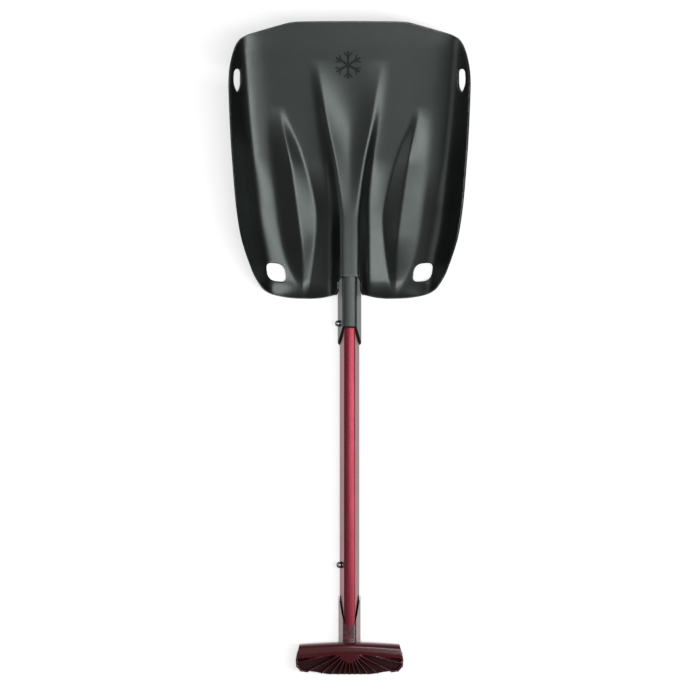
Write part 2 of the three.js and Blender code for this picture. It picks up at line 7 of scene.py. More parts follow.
import logging
import math
from dataclasses import dataclass
from enum import Enum
from typing import Iterable, Sequence

import bmesh
import bpy
from mathutils import Matrix, Vector


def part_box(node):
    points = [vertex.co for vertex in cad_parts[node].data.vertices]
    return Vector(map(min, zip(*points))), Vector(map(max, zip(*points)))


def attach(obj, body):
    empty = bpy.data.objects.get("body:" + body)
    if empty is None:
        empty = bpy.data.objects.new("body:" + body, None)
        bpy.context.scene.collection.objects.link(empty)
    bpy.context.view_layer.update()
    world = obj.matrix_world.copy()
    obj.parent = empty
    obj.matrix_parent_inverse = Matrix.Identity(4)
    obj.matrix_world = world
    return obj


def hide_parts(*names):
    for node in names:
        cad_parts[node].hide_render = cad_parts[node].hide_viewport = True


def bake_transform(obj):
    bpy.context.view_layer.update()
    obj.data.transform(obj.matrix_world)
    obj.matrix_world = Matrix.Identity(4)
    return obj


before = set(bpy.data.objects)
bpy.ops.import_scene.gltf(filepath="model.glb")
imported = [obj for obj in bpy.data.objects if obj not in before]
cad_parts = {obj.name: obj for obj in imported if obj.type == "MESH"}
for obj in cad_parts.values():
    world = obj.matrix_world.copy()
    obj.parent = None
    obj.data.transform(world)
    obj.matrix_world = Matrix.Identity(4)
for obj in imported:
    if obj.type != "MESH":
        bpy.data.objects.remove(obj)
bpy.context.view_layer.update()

MM = 0.001
log = logging.getLogger("shovel")

Point = tuple[float, float]
Corner = tuple[float, float, float]  # x, y and the corner's rounding
Colour = tuple[float, float, float]


class Body(Enum):
    """The moving bodies that a piece can ride on."""

    BLADE = "blade_unit"
    SHAFT = "shaft_unit"
    LOWER_BUTTON = "lower_button"
    UPPER_BUTTON = "upper_button"


class Slot(Enum):
    """The record's finish slots."""

    BLADE = "blade_anodise"
    SHAFT = "shaft_anodise"
    NYLON = "black_nylon"
    GRIP = "grip_plastic"
    CHROME = "chrome"
    STEEL = "spring_steel"


# ---------------------------------------------------------------- numbers and curves


def clamp01(value: float) -> float:
    """Return value held between 0 and 1."""
    return min(1.0, max(0.0, value))


def ramp(start: float, end: float, value: float) -> float:
    """Return a smooth rise from 0 at start to 1 at end."""
    part = clamp01((value - start) / (end - start))
    return part * part * (3 - 2 * part)


def mix(a: float, b: float, part: float) -> float:
    """Return the value that lies part of the way from a to b."""
    return a + (b - a) * part


def along(points: Sequence[Point], place: float) -> float:
    """Read a smooth curve through points at a place along it.

    Args:
        points: (place, value) pairs in rising order of place.
        place: where to read the curve.

    Returns:
        The value, with each point's slope taken from its neighbours.
    """
    last = len(points) - 1
    after = next((k for k, point in enumerate(points) if point[0] > place), last)
    first = max(0, after - 1)

    def slope(k: int) -> float:
        a, b = points[max(0, k - 1)], points[min(last, k + 1)]
        return (b[1] - a[1]) / (b[0] - a[0])

    (p0, v0), (p1, v1) = points[first], points[first + 1]
    width = p1 - p0
    t = clamp01((place - p0) / width)
    return (
        (2 * t**3 - 3 * t**2 + 1) * v0
        + (t**3 - 2 * t**2 + t) * width * slope(first)
        + (3 * t**2 - 2 * t**3) * v1
        + (t**3 - t**2) * width * slope(first + 1)
    )


def rounded_polygon(corners: Sequence[Corner], steps: int = 8) -> list[Vector]:
    """Round a polygon's corners.

    Args:
        corners: (x, y, radius) of each corner, in order.
        steps: points on each rounded corner, less one.

    Returns:
        The outline's points, in the same order.
    """
    most_of_side = 0.49
    points = []
    for k, (x, y, radius) in enumerate(corners):
        here = Vector((x, y))
        back = Vector(corners[k - 1][:2]) - here
        on = Vector(corners[(k + 1) % len(corners)][:2]) - here
        start = here + back.normalized() * min(radius, back.length * most_of_side)
        end = here + on.normalized() * min(radius, on.length * most_of_side)
        for i in range(steps + 1):
            t = i / steps
            points.append(start * (1 - t) ** 2 + here * 2 * t * (1 - t) + end * t**2)
    return points


def inside(outline: Sequence[Vector], point: Vector) -> bool:
    """Tell whether a point lies inside a closed outline."""
    found = False
    for k, a in enumerate(outline):
        b = outline[k - 1]
        if (a.y > point.y) != (b.y > point.y):
            if point.x < (b.x - a.x) * (point.y - a.y) / (b.y - a.y) + a.x:
                found = not found
    return found


def nearest(outline: Sequence[Vector], point: Vector) -> Vector:
    """Return the point of a closed outline that lies nearest to a point."""
    best, least = outline[0], math.inf
    for k, a in enumerate(outline):
        edge = outline[k - 1] - a
        share = clamp01((point - a).dot(edge) / max(edge.length_squared, 1e-12))
        candidate = a + edge * share
        distance = (candidate - point).length_squared
        if distance < least:
            best, least = candidate, distance
    return best


# ---------------------------------------------------------------- mesh helpers


def scaled(mesh: bmesh.types.BMesh) -> None:
    """Turn a mesh drawn in millimetres into metres."""
    bmesh.ops.scale(mesh, vec=(MM, MM, MM), verts=mesh.verts)


def pulled_out(mesh: bmesh.types.BMesh, move: Sequence[float]) -> None:
    """Extrude all of a mesh's faces along a move, which closes the mesh."""
    grown = bmesh.ops.extrude_face_region(mesh, geom=list(mesh.faces))["geom"]
    moved = [v for v in grown if isinstance(v, bmesh.types.BMVert)]
    bmesh.ops.translate(mesh, vec=move, verts=moved)
    bmesh.ops.recalc_face_normals(mesh, faces=mesh.faces)


def take_in(mesh: bmesh.types.BMesh, part: bmesh.types.BMesh) -> None:
    """Add one mesh to another, and free it."""
    data = bpy.data.meshes.new("part")
    part.to_mesh(data)
    part.free()
    mesh.from_mesh(data)
    bpy.data.meshes.remove(data)


def make_object(name: str, mesh: bmesh.types.BMesh, material: bpy.types.Material,
                sharp_degrees: float = 40) -> bpy.types.Object:
    """Turn a bmesh in millimetres into an object with smooth faces and sharp creases.

    Args:
        name: the piece's name.
        mesh: its mesh, which is freed here.
        material: its finish.
        sharp_degrees: edges that bend more than this stay sharp.

    Returns:
        The new object, at the origin.
    """
    scaled(mesh)
    data = bpy.data.meshes.new(name)
    mesh.to_mesh(data)
    mesh.free()
    data.shade_smooth()
    data.set_sharp_from_angle(angle=math.radians(sharp_degrees))
    data.materials.append(material)
    piece = bpy.data.objects.new(name, data)
    bpy.context.scene.collection.objects.link(piece)
    return piece


def bake_modifiers(piece: bpy.types.Object) -> None:
    """Apply a piece's modifiers to its mesh."""
    graph = bpy.context.evaluated_depsgraph_get()
    data = bpy.data.meshes.new_from_object(piece.evaluated_get(graph), depsgraph=graph)
    old = piece.data
    piece.modifiers.clear()
    piece.data = data
    data.name = piece.name
    bpy.data.meshes.remove(old)


def cut_away(piece: bpy.types.Object, cutter: bmesh.types.BMesh) -> None:
    """Cut a closed shape, drawn in millimetres, out of a piece."""
    tool = make_object("cutter", cutter, piece.data.materials[0])
    cut = piece.modifiers.new("cut", "BOOLEAN")
    cut.object = tool
    cut.operation = "DIFFERENCE"
    cut.solver = "EXACT"
    bake_modifiers(piece)
    bpy.data.meshes.remove(tool.data)
    piece.data.set_sharp_from_angle(angle=math.radians(40))


def flat_faces_stay_flat(piece: bpy.types.Object) -> None:
    """Weight a piece's normals by face area, so that its flats shade flat beside rounded corners."""
    weighted = piece.modifiers.new("flats", "WEIGHTED_NORMAL")
    weighted.keep_sharp = True
    weighted.weight = 100


def settle(piece: bpy.types.Object, body: Body, slot: Slot, *nodes: str) -> None:
    """Tie a piece to its body and to the nodes that it stands for.

    Args:
        piece: the finished piece.
        body: the body that it rides on.
        slot: the record's slot for its finish; not used.
        nodes: the model's nodes that it replaces.
    """
    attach(piece, body.value)
    if nodes:
        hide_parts(*nodes)
    log.info("%s: %d faces", piece.name, len(piece.data.polygons))


def soften_edges(mesh: bmesh.types.BMesh, offset: float, segments: int = 2) -> None:
    """Round a closed mesh's sharp edges over.

    Args:
        mesh: the mesh, in millimetres.
        offset: how far the rounding reaches from the edge.
        segments: facets across the rounding.
    """
    mesh.normal_update()
    least = math.radians(50)
    edges = [e for e in mesh.edges if len(e.link_faces) == 2 and e.calc_face_angle(0) > least]
    bmesh.ops.bevel(mesh, geom=edges, offset=offset, segments=segments, profile=0.5,
                    affect="EDGES", material=-1, clamp_overlap=True)


def spun(profile: Sequence[Point], steps: int = 48) -> bmesh.types.BMesh:
    """Spin a profile round the Z axis into a closed turned piece.

    Args:
        profile: (radius, height) points from the axis, round the outside and back to the axis.
        steps: facets round the piece.

    Returns:
        The mesh, in millimetres.
    """
    mesh = bmesh.new()
    verts = [mesh.verts.new((radius, 0, height)) for radius, height in profile]
    edges = [mesh.edges.new(pair) for pair in zip(verts, verts[1:])]
    bmesh.ops.spin(mesh, geom=verts + edges, cent=(0, 0, 0), axis=(0, 0, 1),
                   angle=2 * math.pi, steps=steps, use_merge=True)
    bmesh.ops.remove_doubles(mesh, verts=mesh.verts, dist=1e-4)
    bmesh.ops.recalc_face_normals(mesh, faces=mesh.faces)
    return mesh


# ---------------------------------------------------------------- shader building


class Shade:
    """A small writer for one shader node tree."""

    def __init__(self, tree: bpy.types.NodeTree) -> None:
        """Start on a node tree."""
        self.tree = tree

    def node(self, kind: str, **settings: object) -> bpy.types.Node:
        """Add a node and set its properties."""
        made = self.tree.nodes.new(kind)
        for key, value in settings.items():
            setattr(made, key, value)
        return made

    def feed(self, socket: bpy.types.NodeSocket, source: object) -> None:
        """Give a socket a link, or a plain value."""
        if isinstance(source, bpy.types.NodeSocket):
            self.tree.links.new(source, socket)
        elif isinstance(source, tuple) and len(source) == 3 and socket.type == "RGBA":
            socket.default_value = (*source, 1)
        else:
            socket.default_value = source

    def math(self, operation: str, a: object, b: object = 0.0,
             clamp: bool = False) -> bpy.types.NodeSocket:
        """Add a Math node and return its output."""
        made = self.node("ShaderNodeMath", operation=operation, use_clamp=clamp)
        self.feed(made.inputs[0], a)
        self.feed(made.inputs[1], b)
        return made.outputs[0]

    def between(self, value: object, low: float, high: float) -> bpy.types.NodeSocket:
        """Stretch a value so that low becomes 0 and high becomes 1, smoothly."""
        made = self.node("ShaderNodeMapRange", interpolation_type="SMOOTHSTEP")
        self.feed(made.inputs["Value"], value)
        made.inputs["From Min"].default_value = low
        made.inputs["From Max"].default_value = high
        return made.outputs["Result"]

    def blend(self, part: object, a: object, b: object) -> bpy.types.NodeSocket:
        """Mix two colours."""
        made = self.node("ShaderNodeMix", data_type="RGBA")
        self.feed(made.inputs["Factor"], part)
        self.feed(made.inputs[6], a)
        self.feed(made.inputs[7], b)
        return made.outputs[2]

    def noise(self, vector: object, scale: object, detail: float = 3,
              roughness: float = 0.55) -> bpy.types.NodeSocket:
        """Add a noise texture and return its value."""
        made = self.node("ShaderNodeTexNoise")
        self.feed(made.inputs["Vector"], vector)
        self.feed(made.inputs["Scale"], scale)
        made.inputs["Detail"].default_value = detail
        made.inputs["Roughness"].default_value = roughness
        return made.outputs["Fac"]

    def stretched(self, vector: object, scale: tuple[float, float, float],
                  turn: tuple[float, float, float] = (0, 0, 0)) -> bpy.types.NodeSocket:
        """Add a Mapping node that turns and stretches a pattern."""
        made = self.node("ShaderNodeMapping")
        self.feed(made.inputs["Vector"], vector)
        made.inputs["Rotation"].default_value = turn
        made.inputs["Scale"].default_value = scale
        return made.outputs["Vector"]


def new_group(name: str, inputs: Sequence[tuple[str, str, object]],
              outputs: Sequence[tuple[str, str]]) -> tuple[Shade, dict, bpy.types.Node]:
    """Start a shader node group.

    Args:
        name: the group's name.
        inputs: (name, socket type, default) of each input.
        outputs: (name, socket type) of each output.

    Returns:
        Its writer, its inputs by name, and its output node.
    """
    tree = bpy.data.node_groups.new(name, "ShaderNodeTree")
    for label, kind, default in inputs:
        socket = tree.interface.new_socket(label, in_out="INPUT", socket_type=kind)
        if default is not None:
            socket.default_value = default
    for label, kind in outputs:
        tree.interface.new_socket(label, in_out="OUTPUT", socket_type=kind)
    shade = Shade(tree)
    entry = shade.node("NodeGroupInput")
    exit_node = shade.node("NodeGroupOutput")
    return shade, {socket.name: socket for socket in entry.outputs}, exit_node


FLOAT = "NodeSocketFloat"
VECTOR = "NodeSocketVector"
DUST_COLOUR: Colour = (0.55, 0.55, 0.53)
# painted shade for the grip's deep palm-side pockets
PAINTED_POCKET_SHADE_COLOUR: Colour = (0.035, 0.004, 0.006)


class Effects:
    """Surface effects that several finishes share, each a node group built once."""

    def __init__(self) -> None:
        """Build every effect."""
        self.grain = self._grain()
        self.scratches = self._scratches()
        self.handling = self._handling()
        self.wear_and_highlight = self._edge_wear_and_highlight()
        self.crystal = self._crystal()

    @staticmethod
    def _grain() -> bpy.types.NodeTree:
        """Fine grain drawn out along the shaft, as rolled and brushed metal has."""
        shade, given, out = new_group(
            "drawn_grain",
            [("Vector", VECTOR, None), ("Fineness", FLOAT, 900.0), ("Blotch", FLOAT, 14.0)],
            [("Height", FLOAT), ("Tone", FLOAT)])
        lines = shade.noise(shade.stretched(given["Vector"], (1.0, 0.035, 1.0)), given["Fineness"], 2)
        broad = shade.noise(given["Vector"], given["Blotch"], 4, 0.6)
        shade.feed(out.inputs["Height"], lines)
        shade.feed(out.inputs["Tone"], broad)
        return shade.tree

    @staticmethod
    def _scratches() -> bpy.types.NodeTree:
        """Sparse hairline scratches in two directions."""
        shade, given, out = new_group(
            "hair_scratches",
            [("Vector", VECTOR, None), ("Scale", FLOAT, 60.0), ("Amount", FLOAT, 0.5)],
            [("Mask", FLOAT)])
        masks = []
        for turn, stretch in ((0.35, (1.0, 0.03, 1.0)), (-1.1, (1.0, 0.05, 1.0))):
            vector = shade.stretched(given["Vector"], stretch, (0, 0, turn))
            line = shade.between(shade.noise(vector, given["Scale"], 6, 0.75), 0.665, 0.7)
            patch = shade.between(shade.noise(given["Vector"], 22.0, 1), 0.5, 0.62)
            masks.append(shade.math("MULTIPLY", line, patch))
        both = shade.math("MAXIMUM", *masks)
        shade.feed(out.inputs["Mask"], shade.math("MULTIPLY", both, given["Amount"], clamp=True))
        return shade.tree

    @staticmethod
    def _handling() -> bpy.types.NodeTree:
        """Broad smudges and faint dust that make a surface's gloss uneven."""
        shade, given, out = new_group(
            "handling_marks",
            [("Vector", VECTOR, None), ("Scale", FLOAT, 26.0), ("Amount", FLOAT, 0.5)],
            [("Smudge", FLOAT), ("Dust", FLOAT)])
        smear = shade.between(shade.noise(given["Vector"], given["Scale"], 5, 0.62), 0.42, 0.68)
        specks = shade.between(shade.noise(given["Vector"], 1500.0, 1), 0.7, 0.76)
        haze = shade.between(shade.noise(given["Vector"], 9.0, 3), 0.45, 0.75)
        shade.feed(out.inputs["Smudge"], shade.math("MULTIPLY", smear, given["Amount"], clamp=True))
        dusty = shade.math("MULTIPLY", specks, haze)
        shade.feed(out.inputs["Dust"], shade.math("MULTIPLY", dusty, given["Amount"], clamp=True))
        return shade.tree

    @staticmethod
    def _edge_wear_and_highlight() -> bpy.types.NodeTree:
        """Bright wear where a raised edge is rubbed, broken up by noise; on the grip the same mask is a
        painted highlight on the rib tops.
        """
        shade, given, out = new_group(
            "edge_wear_and_highlight",
            [("Vector", VECTOR, None), ("Edge", FLOAT, 0.5), ("Start", FLOAT, 0.52),
             ("Amount", FLOAT, 0.6)],
            [("Mask", FLOAT)])
        above = shade.math("SUBTRACT", given["Edge"], given["Start"])
        raised = shade.math("MULTIPLY", above, 14.0, clamp=True)
        broken = shade.between(shade.noise(given["Vector"], 240.0, 5, 0.7), 0.38, 0.62)
        rubbed_and_lit = shade.math("MULTIPLY", raised, broken)
        shade.feed(out.inputs["Mask"], shade.math("MULTIPLY", rubbed_and_lit, given["Amount"], clamp=True))
        return shade.tree

    @staticmethod
    def _crystal() -> bpy.types.NodeTree:
        """A plain six-armed snow crystal, round the X and Y origin of its vector, in metres."""
        shade, given, out = new_group("snow_crystal", [("Vector", VECTOR, None)], [("Mask", FLOAT)])
        arm_length, arm_half = 0.0145, 0.0013
        twig_at, twig_half, twig_reach = 0.0085, 0.0012, 0.0046
        arm_turn = math.pi / 3
        split = shade.node("ShaderNodeSeparateXYZ")
        shade.feed(split.inputs[0], given["Vector"])
        x, y = split.outputs[0], split.outputs[1]
        squares = shade.math("ADD", shade.math("MULTIPLY", x, x), shade.math("MULTIPLY", y, y))
        radius = shade.math("SQRT", squares)
        turns = shade.math("DIVIDE", shade.math("ARCTAN2", x, y), arm_turn)
        folded = shade.math("PINGPONG", shade.math("ADD", turns, 6.0), 0.5)
        sixth = shade.math("MULTIPLY", folded, arm_turn)
        across = shade.math("MULTIPLY", radius, shade.math("SINE", sixth))
        outward = shade.math("MULTIPLY", radius, shade.math("COSINE", sixth))
        arm = shade.math("MULTIPLY", shade.math("LESS_THAN", across, arm_half),
                         shade.math("LESS_THAN", outward, arm_length))
        slant = shade.math("SUBTRACT", shade.math("SUBTRACT", outward, across), twig_at)
        twig = shade.math("MULTIPLY", shade.math("LESS_THAN", shade.math("ABSOLUTE", slant), twig_half),
                          shade.math("LESS_THAN", across, twig_reach))
        shade.feed(out.inputs["Mask"], shade.math("MAXIMUM", arm, twig))
        return shade.tree


@dataclass(frozen=True)
class Finish:
    """A metal or plastic finish, how it is marked by use, and the painted shade, highlight and reflection
    that some finishes carry.
    """

    name: str
    colour: Colour
    wear_and_highlight_colour: Colour
    roughness: float
    metallic: float = 0.0
    roughness_swing: float = 0.1
    tone_swing: float = 0.12
    grain_depth: float = 0.00001
    grain_fineness: float = 900.0
    wear_and_highlight_start: float = 0.53
    wear_and_highlight: float = 0.5
    scratches: float = 0.4
    smudges: float = 0.5
    coat: float = 0.0
    coat_roughness: float = 0.05
    specular: float = 0.5
    mark_at: Point | None = None
    mark_colour: Colour = (0.0, 0.0, 0.0)
    painted_reflection_rim_colour: Colour | None = None
    # palm-side place and web height below which the grip gets painted pocket shade
    recess: Point | None = None

    def shaded_dull_pocket_mask(self, shade: Shade, place: bpy.types.NodeSocket) -> bpy.types.NodeSocket:
        """Return a mask of the deep pockets on the grip's palm side, which stay dull and get a painted
        shade.
        """
        split = shade.node("ShaderNodeSeparateXYZ")
        shade.feed(split.inputs[0], place)
        palm_y, web_z = self.recess
        past_palm = shade.between(split.outputs[1], (palm_y - 1) * MM, (palm_y + 1) * MM)
        over_web = shade.between(split.outputs[2], web_z * MM, (web_z + 2.5) * MM)
        palm = shade.math("SUBTRACT", 1.0, past_palm)
        low = shade.math("SUBTRACT", 1.0, over_web)
        return shade.math("MULTIPLY", palm, low)

    def material(self, effects: Effects) -> bpy.types.Material:
        """Build the finish as a node material.

        Args:
            effects: the shared effects.

        Returns:
            The material.
        """
        made = bpy.data.materials.new(self.name)
        made.use_nodes = True
        shade = Shade(made.node_tree)
        shader = made.node_tree.nodes["Principled BSDF"]
        place = shade.node("ShaderNodeTexCoord").outputs["Object"]

        def effect(group: bpy.types.NodeTree, **values: object) -> bpy.types.Node:
            """Place one shared effect with this finish's own values."""
            node = shade.node("ShaderNodeGroup", node_tree=group)
            shade.feed(node.inputs["Vector"], place)
            for key, value in values.items():
                shade.feed(node.inputs[key], value)
            return node

        grain = effect(effects.grain, Fineness=self.grain_fineness)
        hairs = effect(effects.scratches, Amount=self.scratches)
        marks = effect(effects.handling, Amount=self.smudges)
        edge = shade.node("ShaderNodeNewGeometry").outputs["Pointiness"]
        worn_and_lit = effect(effects.wear_and_highlight, Edge=edge, Start=self.wear_and_highlight_start, Amount=self.wear_and_highlight)

        tone = shade.between(grain.outputs["Tone"], 0.3, 0.7)
        dark = tuple(c * (1 - self.tone_swing) for c in self.colour)
        light = tuple(min(1.0, c * (1 + self.tone_swing)) for c in self.colour)
        colour = shade.blend(tone, dark, light)
        if self.mark_at:
            at = shade.node("ShaderNodeMapping")
            shade.feed(at.inputs["Vector"], place)
            at.inputs["Location"].default_value = (-self.mark_at[0] * MM, -self.mark_at[1] * MM, 0)
            crystal = shade.node("ShaderNodeGroup", node_tree=effects.crystal)
            shade.feed(crystal.inputs["Vector"], at.outputs["Vector"])
            colour = shade.blend(crystal.outputs["Mask"], colour, self.mark_colour)
        # worn edges and scratches lighten the colour; on the grip the edge mask also paints highlights on
        # the rib tops
        rubbed_and_lit = shade.math("MAXIMUM", worn_and_lit.outputs["Mask"],
                            shade.math("MULTIPLY", hairs.outputs["Mask"], 0.35))
        colour = shade.blend(rubbed_and_lit, colour, self.wear_and_highlight_colour)
        dusty = shade.math("MULTIPLY", marks.outputs["Dust"], 0.35)
        colour = shade.blend(dusty, colour, DUST_COLOUR)
        # painted reflection: the colour darkens towards the rim as the surface turns away, standing in for
        # dark surroundings mirrored in the chrome
        if self.painted_reflection_rim_colour:
            facing = shade.node("ShaderNodeLayerWeight")
            facing.inputs["Blend"].default_value = 0.5
            rim = shade.between(facing.outputs["Facing"], 0.12, 0.42)
            colour = shade.blend(rim, colour, self.painted_reflection_rim_colour)
        shade.feed(shader.inputs["Base Color"], colour)

        uneven = shade.math("ADD", shade.math("MULTIPLY", grain.outputs["Height"], self.roughness_swing),
                            shade.math("MULTIPLY", marks.outputs["Smudge"], self.roughness_swing))
        lower = self.roughness - self.roughness_swing * 0.7
        shade.feed(shader.inputs["Roughness"], shade.math("ADD", uneven, lower, clamp=True))
        shader.inputs["Metallic"].default_value = self.metallic
        shader.inputs["Specular IOR Level"].default_value = self.specular
        shader.inputs["Coat Weight"].default_value = self.coat
        # painted shade: the palm-side pockets get a darker base colour, besides less coat and more
        # roughness
        if self.recess:
            shaded_dull_pocket = self.shaded_dull_pocket_mask(shade, place)
            pocket_shaded_colour = shade.blend(shaded_dull_pocket, colour, PAINTED_POCKET_SHADE_COLOUR)
            shade.feed(shader.inputs["Base Color"], pocket_shaded_colour)
            rough = shader.inputs["Roughness"].links[0].from_socket
            rougher = shade.math("ADD", rough, shade.math("MULTIPLY", shaded_dull_pocket, 0.5), clamp=True)
            shade.feed(shader.inputs["Roughness"], rougher)
            open_part = shade.math("SUBTRACT", 1.0, shaded_dull_pocket)
            shade.feed(shader.inputs["Coat Weight"], shade.math("MULTIPLY", open_part, self.coat))
        shader.inputs["Coat Roughness"].default_value = self.coat_roughness

        height = shade.math("SUBTRACT", grain.outputs["Height"],
                            shade.math("MULTIPLY", hairs.outputs["Mask"], 0.8))
        bump = shade.node("ShaderNodeBump")
        bump.inputs["Distance"].default_value = self.grain_depth
        shade.feed(bump.inputs["Height"], height)
        shade.feed(shader.inputs["Normal"], bump.outputs["Normal"])
        return made


class Finishes:
    """Every finish on the shovel, built once."""

    def __init__(self, effects: Effects) -> None:
        """Build the materials."""
        self.blade = Finish(
            "dark_anodise", (0.058, 0.066, 0.063), (0.2, 0.21, 0.2), roughness=0.31, metallic=0.92,
            roughness_swing=0.05, tone_swing=0.06, grain_depth=0.000004, wear_and_highlight_start=0.58, wear_and_highlight=0.25,
            scratches=0.3, smudges=0.45, mark_at=(-1.5, 301),
            mark_colour=(0.024, 0.027, 0.026)).material(effects)
        self.socket = Finish(
            "socket_anodise", (0.058, 0.065, 0.061), (0.2, 0.21, 0.2), roughness=0.32, metallic=0.9,
            roughness_swing=0.06, grain_depth=0.000003, wear_and_highlight_start=0.58, wear_and_highlight=0.2,
            scratches=0.4).material(effects)
        self.shaft = Finish(
            "red_anodise", (0.17, 0.02, 0.032), (0.45, 0.18, 0.2), roughness=0.25, metallic=0.95,
            roughness_swing=0.06, tone_swing=0.07, grain_depth=0.0000025, wear_and_highlight_start=0.58, wear_and_highlight=0.25,
            scratches=0.35, coat=0.08, coat_roughness=0.12).material(effects)
        self.nylon = Finish(
            "black_nylon", (0.008, 0.008, 0.008), (0.03, 0.03, 0.03), roughness=0.5,
            grain_depth=0.00003, grain_fineness=1600.0, wear_and_highlight=0.2, scratches=0.3,
            specular=0.3).material(effects)
        self.grip = Finish(
            "maroon_moulding", (0.1, 0.011, 0.016), (0.3, 0.12, 0.13), roughness=0.22,
            # the grip's wear start and amount also paint a highlight on the rib tops
            roughness_swing=0.06, grain_depth=0.000004, grain_fineness=500.0, wear_and_highlight_start=0.545,
            # recess places the painted shade in the palm-side pockets
            wear_and_highlight=0.6, scratches=0.4, coat=0.25, specular=0.3, recess=(-327, 17.5)).material(effects)
        # chrome: its dark rim colour is a painted reflection of dark surroundings
        self.chrome = Finish(
            "chrome", (0.62, 0.63, 0.65), (0.4, 0.4, 0.4), roughness=0.12, metallic=1.0,
            roughness_swing=0.05, tone_swing=0.03, grain_depth=0.000002, wear_and_highlight=0.1, scratches=0.5,
            smudges=0.6, painted_reflection_rim_colour=(0.02, 0.02, 0.022)).material(effects)
        self.steel = Finish(
            "spring_steel", (0.36, 0.37, 0.39), (0.6, 0.6, 0.6), roughness=0.34, metallic=1.0,
            roughness_swing=0.16, tone_swing=0.2, scratches=0.6).material(effects)


# ---------------------------------------------------------------- the tubes' shared section


@dataclass(frozen=True)
class TubeSection:
    """The shaft's section: a trapezoid with its narrow face in front and rounded corners."""

    back_half: float = 10.9
    front_half: float = 5.7
    back_z: float = 2.6
    front_z: float = 22.6
    corner: float = 1.6
    crown: float = 0.22
    crown_steps: int = 9

    @property
    def flank(self) -> float:
        """The side's lean from upright, in radians."""
        return math.atan((self.back_half - self.front_half) / (self.front_z - self.back_z))

    def side_x(self, z: float, offset: float = 0.0) -> float:
        """Return how far the side stands from the middle at a height, for an outline moved outward."""
        reach = self.back_half * math.cos(self.flank) + self.back_z * math.sin(self.flank)
        return (reach + offset - z * math.sin(self.flank)) / math.cos(self.flank)

    def outline(self, offset: float, y: float, segments: int = 7) -> bmesh.types.BMesh:
        """Draw the section as one face, moved outward by an offset, at a station of the shaft.

        Args:
            offset: how far the outline stands outside the shaft's own.
            y: the station.
            segments: facets on each rounded corner.

        Returns:
            A mesh of one face, in millimetres.
        """
        radius = max(self.corner + offset, 0.2)
        low, high = self.back_z - offset, self.front_z + offset
        mesh = bmesh.new()
        low_x, high_x = self.side_x(low, offset), self.side_x(high, offset)
        corners = [(low_x, y, low), (high_x, y, high), (-high_x, y, high), (-low_x, y, low)]
        verts = [mesh.verts.new(corner) for corner in corners]
        mesh.faces.new(verts)
        for pair, bend in (((0, 3), math.pi / 2 - self.flank), ((1, 2), math.pi / 2 + self.flank)):
            chosen = [v for k, v in enumerate(verts) if k in pair]
            bmesh.ops.bevel(mesh, geom=chosen, offset=radius / math.tan(bend / 2), segments=segments,
                            profile=0.5, affect="VERTICES", material=-1)
        wide = max(v.co.x for v in mesh.verts if v.co.z > high - 1e-3)
        front = [e for e in mesh.edges if min(v.co.z for v in e.verts) > high - 1e-3]
        bmesh.ops.subdivide_edges(mesh, edges=front, cuts=self.crown_steps)
        for vert in mesh.verts:
            if vert.co.z > high - self.corner:
                vert.co.z -= self.crown * min(1.0, abs(vert.co.x) / wide) ** 2
        return mesh

    def solid(self, offset: float, low_y: float, high_y: float) -> bmesh.types.BMesh:
        """Return a closed bar of this section, in millimetres."""
        mesh = self.outline(offset, low_y)
        pulled_out(mesh, (0, high_y - low_y, 0))
        return mesh

    def shell(self, offset: float, low_y: float, high_y: float) -> bmesh.types.BMesh:
        """Return an open skin of this section, in millimetres, facing outward."""
        mesh = self.solid(offset, low_y, high_y)
        caps = [f for f in mesh.faces if abs(f.normal.y) > 0.9]
        bmesh.ops.delete(mesh, geom=caps, context="FACES_ONLY")
        return mesh

    def out_of_left_side(self, y: float, z: float) -> Matrix:
        """Return the frame of a piece whose own +Z points out of the left side, at a station."""
        outward = Vector((-math.cos(self.flank), 0, math.sin(self.flank)))
        up = Vector((math.sin(self.flank), 0, math.cos(self.flank)))
        turn = Matrix((up, outward.cross(up), outward)).transposed().to_4x4()
        return Matrix.Translation((-self.side_x(z), y, z)) @ turn


SECTION = TubeSection()


def slanted_cut(mesh: bmesh.types.BMesh, back_y: float, front_y: float, keep_tip_side: bool,
                reach: float = 2.1) -> None:
    """Cut a tube's skin off along a slant from its back to its front.

    Args:
        mesh: the skin, in millimetres.
        back_y: where the slant meets the back.
        front_y: where it meets the front.
        keep_tip_side: keep the part towards the blade's tip, or the part towards the grip.
        reach: how far the slant's two heights stand outside the shaft's own.
    """
    height = SECTION.front_z - SECTION.back_z + 2 * reach
    normal = Vector((0, height, back_y - front_y)).normalized()
    bmesh.ops.bisect_plane(
        mesh, geom=list(mesh.verts) + list(mesh.edges) + list(mesh.faces), dist=1e-4,
        plane_co=(0, back_y, SECTION.back_z - reach), plane_no=normal,
        clear_inner=keep_tip_side, clear_outer=not keep_tip_side)


def mouth_cutter(line: Sequence[Corner], far_y: float) -> bmesh.types.BMesh:
    """Return the upright block that cuts a sleeve's mouth to a line seen from the front.

    Args:
        line: (x, y, radius) of the mouth line's corners on the right, from the outside to the middle.
        far_y: how far the block reaches away from the mouth.

    Returns:
        The block, in millimetres.
    """
    wide, low_z, high_z = 40.0, -4.0, 40.0
    square = 0.1
    right = [(wide, far_y, square), (wide, line[0][1], square), *line]
    left = [(-x, y, radius) for x, y, radius in reversed(right)]
    mesh = bmesh.new()
    outline = rounded_polygon([*right, *left], 10)
    mesh.faces.new([mesh.verts.new((point.x, point.y, low_z)) for point in outline])
    pulled_out(mesh, (0, 0, high_z - low_z))
    return mesh


def walled(mesh: bmesh.types.BMesh, wall: float) -> None:
    """Give a skin that faces outward a wall on its inner side."""
    mesh.normal_update()
    bmesh.ops.solidify(mesh, geom=list(mesh.faces), thickness=wall)


# ---------------------------------------------------------------- blade


